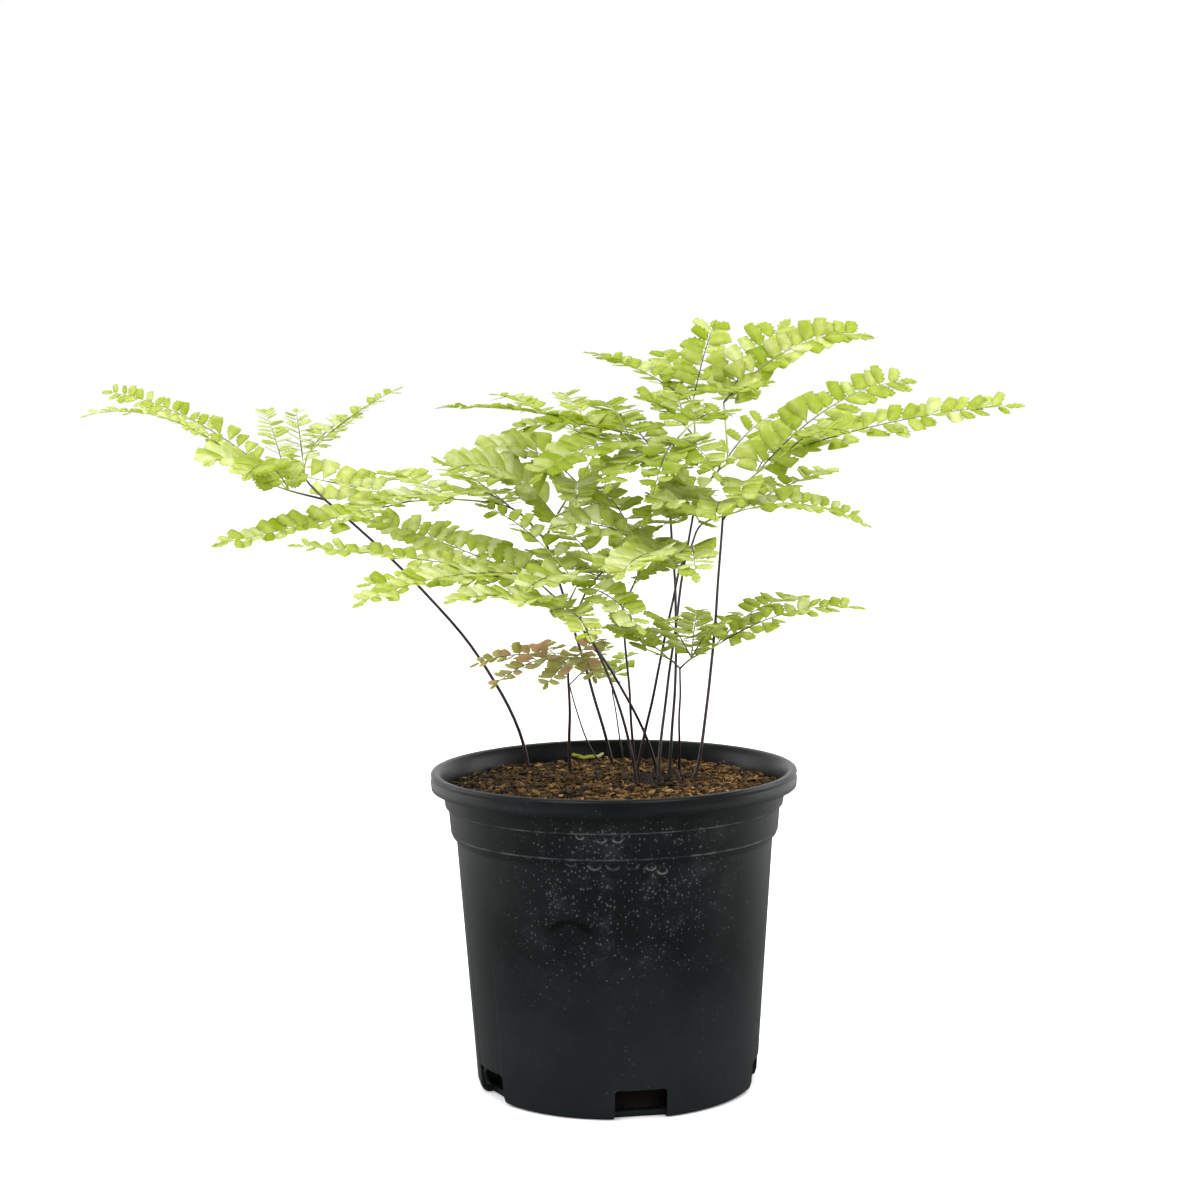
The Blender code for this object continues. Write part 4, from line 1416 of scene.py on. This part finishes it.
FRONDS = (
    Frond("far_left", (-40, 45), (-130, 25, 265), 1.7, 1.6, 0, (
        ("back", ((-140, 35, 275), (-140, 50, 285)), (
            (1, 30, 50, 30, 3, 7, 10), (1, 70, 55, 15, 4, 9, 5), (0, 100, 60, 30, 3, 8, 0),
            (0, 0, 45, -10, 0, 12, 40))),
        ("front", ((-145, 15, 270), (-155, 5, 275)), (
            (0, 160, 95, 45, 9, 8, 45), (0, 105, 80, 35, 4, 8, 0), (1, -170, 80, 30, 13, 8, 10),
            (1, -110, 55, 10, 6, 13, 45), (0, -95, 90, 10, 9, 13, 45))))),
    Frond("reddish", (-20, 25), (-20, 5, 190), 1.6, 1.0, 0, (
        ("left", ((-25, 0, 195),), (
            (0, 175, 40, -5, 3, 7, 15), (0, -130, 45, -10, 3, 7, 20), (0, 110, 40, 0, 2, 7, 10))),
        ("right", ((-15, 5, 195),), (
            (0, 50, 20, 5, 2, 8, 20), (0, -110, 45, -10, 2, 7, 30), (0, -75, 30, -10, 3, 7, 20)))),
        warm=0.5),
    Frond("small_back", (-5, 60), (-20, 50, 175), 0.9, 0.6, 0, (
        ("upper", ((-15, 50, 180),), (
            (0, 60, 30, 10, 2, 6, 15), (0, 10, 20, -5, 2, 6, 20))),)),
    Frond("small_middle", (5, 60), (0, 60, 170), 0.9, 1.0, 0, (
        ("upper", ((0, 65, 175),), (
            (0, 120, 25, 5, 2, 8, 15), (0, 70, 30, 10, 2, 7, 10))),)),
    Frond("mid_left", (0, 45), (-30, 30, 245), 1.6, 1.1, 0, (
        ("left", ((-45, 25, 260), (-70, 15, 265), (-90, 5, 265)), (
            (0, 130, 60, 20, 3, 12, 8), (1, 130, 60, 10, 2, 11, 8), (2, 160, 40, 10, 0, 10, 15),
            (2, -150, 95, -15, 0, 11, 25), (1, -125, 80, -5, 6, 10, 15), (0, -110, 90, 5, 8, 9, 15))),
        ("right", ((-25, 35, 255), (-15, 45, 270), (-5, 60, 285)), (
            (0, -125, 80, 25, 11, 14, 45), (1, -145, 55, 15, 9, 12, 40), (2, 135, 75, 25, 5, 10, 5),
            (2, 105, 75, 25, 5, 10, 5), (1, -90, 85, -5, 4, 11, 30),
            (0, -40, 40, 5, 4, 10, 18), (1, -20, 30, 10, 3, 11, 15))))),
    Frond("low_left", (20, 20), (-20, -30, 220), 1.5, 1.4, 0, (
        ("left", ((-30, -35, 230), (-35, -40, 235)), (
            (0, 140, 110, 25, 3, 12, 40), (1, 180, 105, 15, 1, 10, 15), (1, -155, 80, 0, 1, 10, 18),
            (1, -135, 100, -5, 6, 10, 18), (0, 120, 110, 20, 4, 9, 5))),
        ("right", ((-15, -30, 230),), (
            (0, 155, 50, 35, 6, 10, 15), (0, 120, 45, 10, 5, 11, 10), (0, -105, 80, 5, 5, 12, 35))))),
    Frond("low_middle", (10, -15), (-15, -45, 220), 1.5, 1.6, 0, (
        ("left", ((-20, -50, 220),), (
            (0, -135, 70, 10, 5, 10, 20), (0, -105, 70, 10, 5, 8, 20), (0, -80, 65, -5, 4, 9, 20))),
        ("right", ((-10, -45, 230), (0, -35, 240), (10, -25, 250)), (
            (0, -65, 55, -15, 4, 10, 25), (1, -95, 40, 0, 4, 9, 20), (2, 110, 50, 20, 4, 12, 35),
            (2, -160, 40, 5, 4, 11, 35))))),
    Frond("middle", (10, 25), (5, 10, 215), 1.4, 1.0, 0, (
        ("left", ((0, 10, 225), (-5, 5, 230)), (
            (0, 120, 50, 25, 4, 12, 15), (1, -175, 40, 5, 3, 10, 10), (1, -115, 25, 5, 3, 10, 20))),
        ("right", ((10, 15, 225), (15, 20, 235)), (
            (1, 110, 55, 15, 4, 11, 10), (1, 45, 45, 0, 4, 10, 15), (0, -45, 35, 10, 4, 10, 25)))),
        pale=0.45),
    Frond("mid_right", (10, 15), (30, -15, 235), 1.5, 1.0, 0, (
        ("left", ((25, -25, 240),), (
            (0, -140, 20, 5, 2, 10, 30), (0, -105, 90, 0, 6, 12, 22), (0, 135, 35, 10, 3, 11, 20))),
        ("right", ((35, -20, 245), (40, -20, 255), (55, -20, 260)), (
            (0, -90, 60, -10, 5, 11, 22), (1, -120, 45, 10, 6, 11, 30), (2, 25, 70, -10, 7, 9, 25),
            (2, 55, 90, 15, 2, 9, 15))))),
    Frond("centre", (25, 10), (25, 10, 280), 1.5, 1.0, 4, (
        ("left", ((20, 5, 285), (10, 5, 290), (5, 0, 295)), (
            (0, -115, 55, -15, 5, 10, 20), (1, -130, 70, -15, 6, 12, 25), (2, 170, 55, 0, 4, 12, 20),
            (2, 145, 105, 10, 4, 8, 0), (1, 100, 80, 15, 5, 12, 10), (0, 105, 65, 15, 3, 12, 15))),
        ("right", ((30, 15, 290), (35, 25, 295)), (
            (0, -75, 65, -15, 6, 10, 22), (1, 50, 35, 5, 4, 11, 15), (1, 95, 45, 15, 3, 11, 10),
            (0, -100, 70, -20, 5, 11, 24)))),
        pale=0.36),
    Frond("top", (20, 5), (40, 35, 265), 1.5, 1.3, 0, (
        ("left", ((35, 45, 275), (40, 60, 290), (40, 80, 305)), (
            (0, -125, 65, 5, 4, 11, 20), (1, -145, 35, 20, 4, 12, 30), (2, 150, 60, 25, 4, 10, 5),
            (2, 105, 60, 25, 3, 11, 20), (2, 75, 55, 40, 4, 12, 45))),
        ("right", ((50, 40, 275), (55, 55, 280), (55, 85, 305)), (
            (0, -80, 30, 5, 4, 11, 25), (1, 30, 30, 20, 4, 10, 35), (2, -15, 25, 10, 3, 11, 20),
            (2, 45, 50, 40, 4, 14, 45), (2, 20, 80, 30, 12, 12, 35), (2, -65, 35, 5, 5, 10, 30)))),
        pale=0.42),
    Frond("low_right", (30, 20), (30, -10, 190), 1.2, 0.8, 0, (
        ("left", ((25, -15, 195), (15, -20, 200)), (
            (0, 135, 35, 10, 3, 9, 5), (1, 180, 20, 10, 5, 11, 15), (1, -110, 40, 10, 5, 10, 25),
            (1, 110, 20, 5, 3, 9, 5))),
        ("right", ((35, -15, 195), (45, -15, 200)), (
            (0, -110, 50, 25, 4, 11, 20), (1, 50, 70, 15, 7, 10, 10), (1, 10, 70, 15, 7, 10, 20),
            (0, -70, 40, 20, 4, 9, 15), (0, 85, 65, 15, 4, 9, 10)))),
        pale=0.5),
    Frond("right", (35, 0), (50, 0, 255), 1.6, 0.6, 0, (
        ("left", ((50, 5, 260), (45, 20, 265)), (
            (0, -130, 50, 0, 6, 12, 30), (1, 170, 25, 5, 3, 10, 20), (0, -165, 35, -10, 2, 10, 20),
            (1, -120, 65, -10, 8, 12, 24), (0, -95, 75, 0, 5, 11, 24))),
        ("right", ((60, 0, 270), (65, 5, 275), (80, 10, 285)), (
            (0, -95, 60, -5, 6, 10, 30), (1, 30, 90, 40, 11, 13, 40), (2, -10, 105, 20, 4, 12, 25),
            (1, 65, 40, 15, 3, 13, 30), (2, -65, 55, 10, 5, 10, 30)))),
        pale=0.48),
)


# ---- Studio ----

@dataclass
class Studio:
    """White floor and sky, soft lights and the camera.

    floor_half is in metres and floor_drop in mm. lights holds (name, place, aim, size, power) of each
    square light, in metres and watts. eye is the camera's place in mm, lens its focal length in mm,
    and pitch and roll are how far it looks down and leans, in degrees.
    """

    floor_half: float = 6.0
    floor_drop: float = 0.2
    eye: tuple = (-5.2, -1155.0, 341.0)
    pitch: float = 5.98
    roll: float = 0.74
    lens: float = 77.8
    lights: tuple = (
        ("overhead", (-0.15, -0.25, 1.7), (0.0, 0.0, 0.2), 1.5, 12.0),
        ("front_left", (-0.95, -1.5, 1.45), (0.0, 0.0, 0.22), 1.0, 18.0),
        ("front_right", (0.95, -1.5, 1.35), (0.0, 0.0, 0.22), 1.0, 15.0),
        ("left_side", (-1.5, 0.35, 0.55), (0.0, 0.0, 0.12), 0.9, 9.0),
        ("right_side", (1.5, 0.35, 0.55), (0.0, 0.0, 0.12), 0.9, 11.0))

    def build(self) -> None:
        """Set up floor, sky, lights and camera."""
        self._floor()
        self._sky()
        for name, at, aim, size, power in self.lights:
            self._softbox(name, Vector(at), Vector(aim), size, power)
        self._camera()
        view = bpy.context.scene.view_settings
        view.view_transform = "Standard"
        view.look = "None"

    def _floor(self) -> None:
        """Plain white floor; seen in gloss it is dark near the pot and white only far to its sides."""
        deselect_all()
        bpy.ops.mesh.primitive_plane_add(size=2 * self.floor_half, location=(0, 0, -self.floor_drop * MM))
        floor = bpy.context.object
        floor.name = "floor"
        material, bench, shader = new_finish("white_floor")
        path = bench.tree.nodes.new("ShaderNodeLightPath")
        beside = bench.span(abs(bench.parts(bench.place())[0]), 0.12, 0.8, 0.16, 1.0)
        tint = bench.mix(bench.output(path, "Is Glossy Ray"), (0.9, 0.9, 0.9, 1.0), beside)
        tint = bench.mix(bench.output(path, "Is Camera Ray"), tint, (0.95, 0.95, 0.95, 1.0))
        bench.feed_all(shader, Base_Color=tint, Roughness=0.9, Specular_IOR_Level=0.1)
        floor.data.materials.append(material)

    @staticmethod
    def _sky() -> None:
        """White sky for the camera; as light it is dim towards -Y and bright above and behind.

        Gloss sees less of the brightness above, so that the plastic stays dark.
        """
        world = bpy.data.worlds.new("studio_sky")
        bpy.context.scene.world = world
        world.use_nodes = True
        bench = Bench(world.node_tree)
        path = bench.tree.nodes.new("ShaderNodeLightPath")
        _, back, up = bench.parts(bench.output(bench.tree.nodes.new("ShaderNodeTexCoord"), "Generated"))
        low = bench.span(back, -0.55, 0.75, 0.05, 1.35)
        high = bench.span(up, 0.12, 0.6, 0.0, 1.6)
        camera = bench.output(path, "Is Camera Ray")
        level = low | high * (1.0 - bench.output(path, "Is Glossy Ray") * 0.6)
        bench.feed_all(world.node_tree.nodes["Background"], Color=(1.0, 1.0, 1.0, 1.0),
                       Strength=level * (1.0 - camera) + camera)

    @staticmethod
    def _softbox(name: str, at: Vector, aim: Vector, size: float, power: float) -> None:
        """Square area light that the camera doesn't see.

        Args:
            name: its name.
            at: where it hangs.
            aim: where it points.
            size: its side.
            power: its watts.
        """
        deselect_all()
        bpy.ops.object.light_add(type="AREA", location=at)
        lamp = bpy.context.object
        lamp.name = name
        lamp.data.size = size
        lamp.data.energy = power
        lamp.rotation_euler = (aim - at).to_track_quat("-Z", "Y").to_euler()
        lamp.visible_camera = False

    def _camera(self) -> None:
        """Camera in front of the pot, a little above the rim."""
        deselect_all()
        bpy.ops.object.camera_add(location=Vector(self.eye) * MM)
        camera = bpy.context.object
        turn = Matrix.Rotation(math.radians(90 - self.pitch), 3, "X")
        turn = turn @ Matrix.Rotation(math.radians(-self.roll), 3, "Z")
        camera.rotation_euler = turn.to_euler()
        camera.data.lens = self.lens
        camera.data.sensor_width = 36.0
        camera.data.clip_start = 0.01
        camera.data.clip_end = 50.0
        bpy.context.scene.camera = camera
        deselect_all()


def main() -> None:
    """Build every piece in order, then the studio."""
    logging.basicConfig(level=logging.INFO, format="%(name)s: %(message)s")
    noise.seed_set(NOISE_SEED)
    effects = SharedEffects()
    NurseryPot().build(MouldedPlastic(effects))
    PottingMix().build(CoirMix(effects))
    Rhizome().build(StalkSkin(effects, "rhizome_bark", "15100d", "38251a", "15100d", 0.6))
    WitheredScrap().build(
        LeafTissue(effects, "withered_tissue", "8f9a2e", "b9bd4a", "e6e7c4", "9a7a35", "cfd36a"))
    moulds = {form: form.mould() for form in LeafletForm}
    skin = StalkSkin(effects).material()
    green = LeafTissue(effects, "green_leaf_tissue", "98ad20", "bac462", "e0e4bc", "ab9a45", "cfd95c")
    russet = LeafTissue(effects, "russet_leaf_tissue", "9ea54a", "bdbf6b", "d8d69c", "dcbf9c", "e6d6ae")
    tissues = {"leaf_green": green.material(), "leaf_reddish": russet.material()}
    for frond in FRONDS:
        slot = "leaf_reddish" if frond.name == "reddish" else "leaf_green"
        frond.build(skin, tissues[slot], slot, moulds)
    Studio().build()
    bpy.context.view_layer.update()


if __name__ == "__main__":
    main()
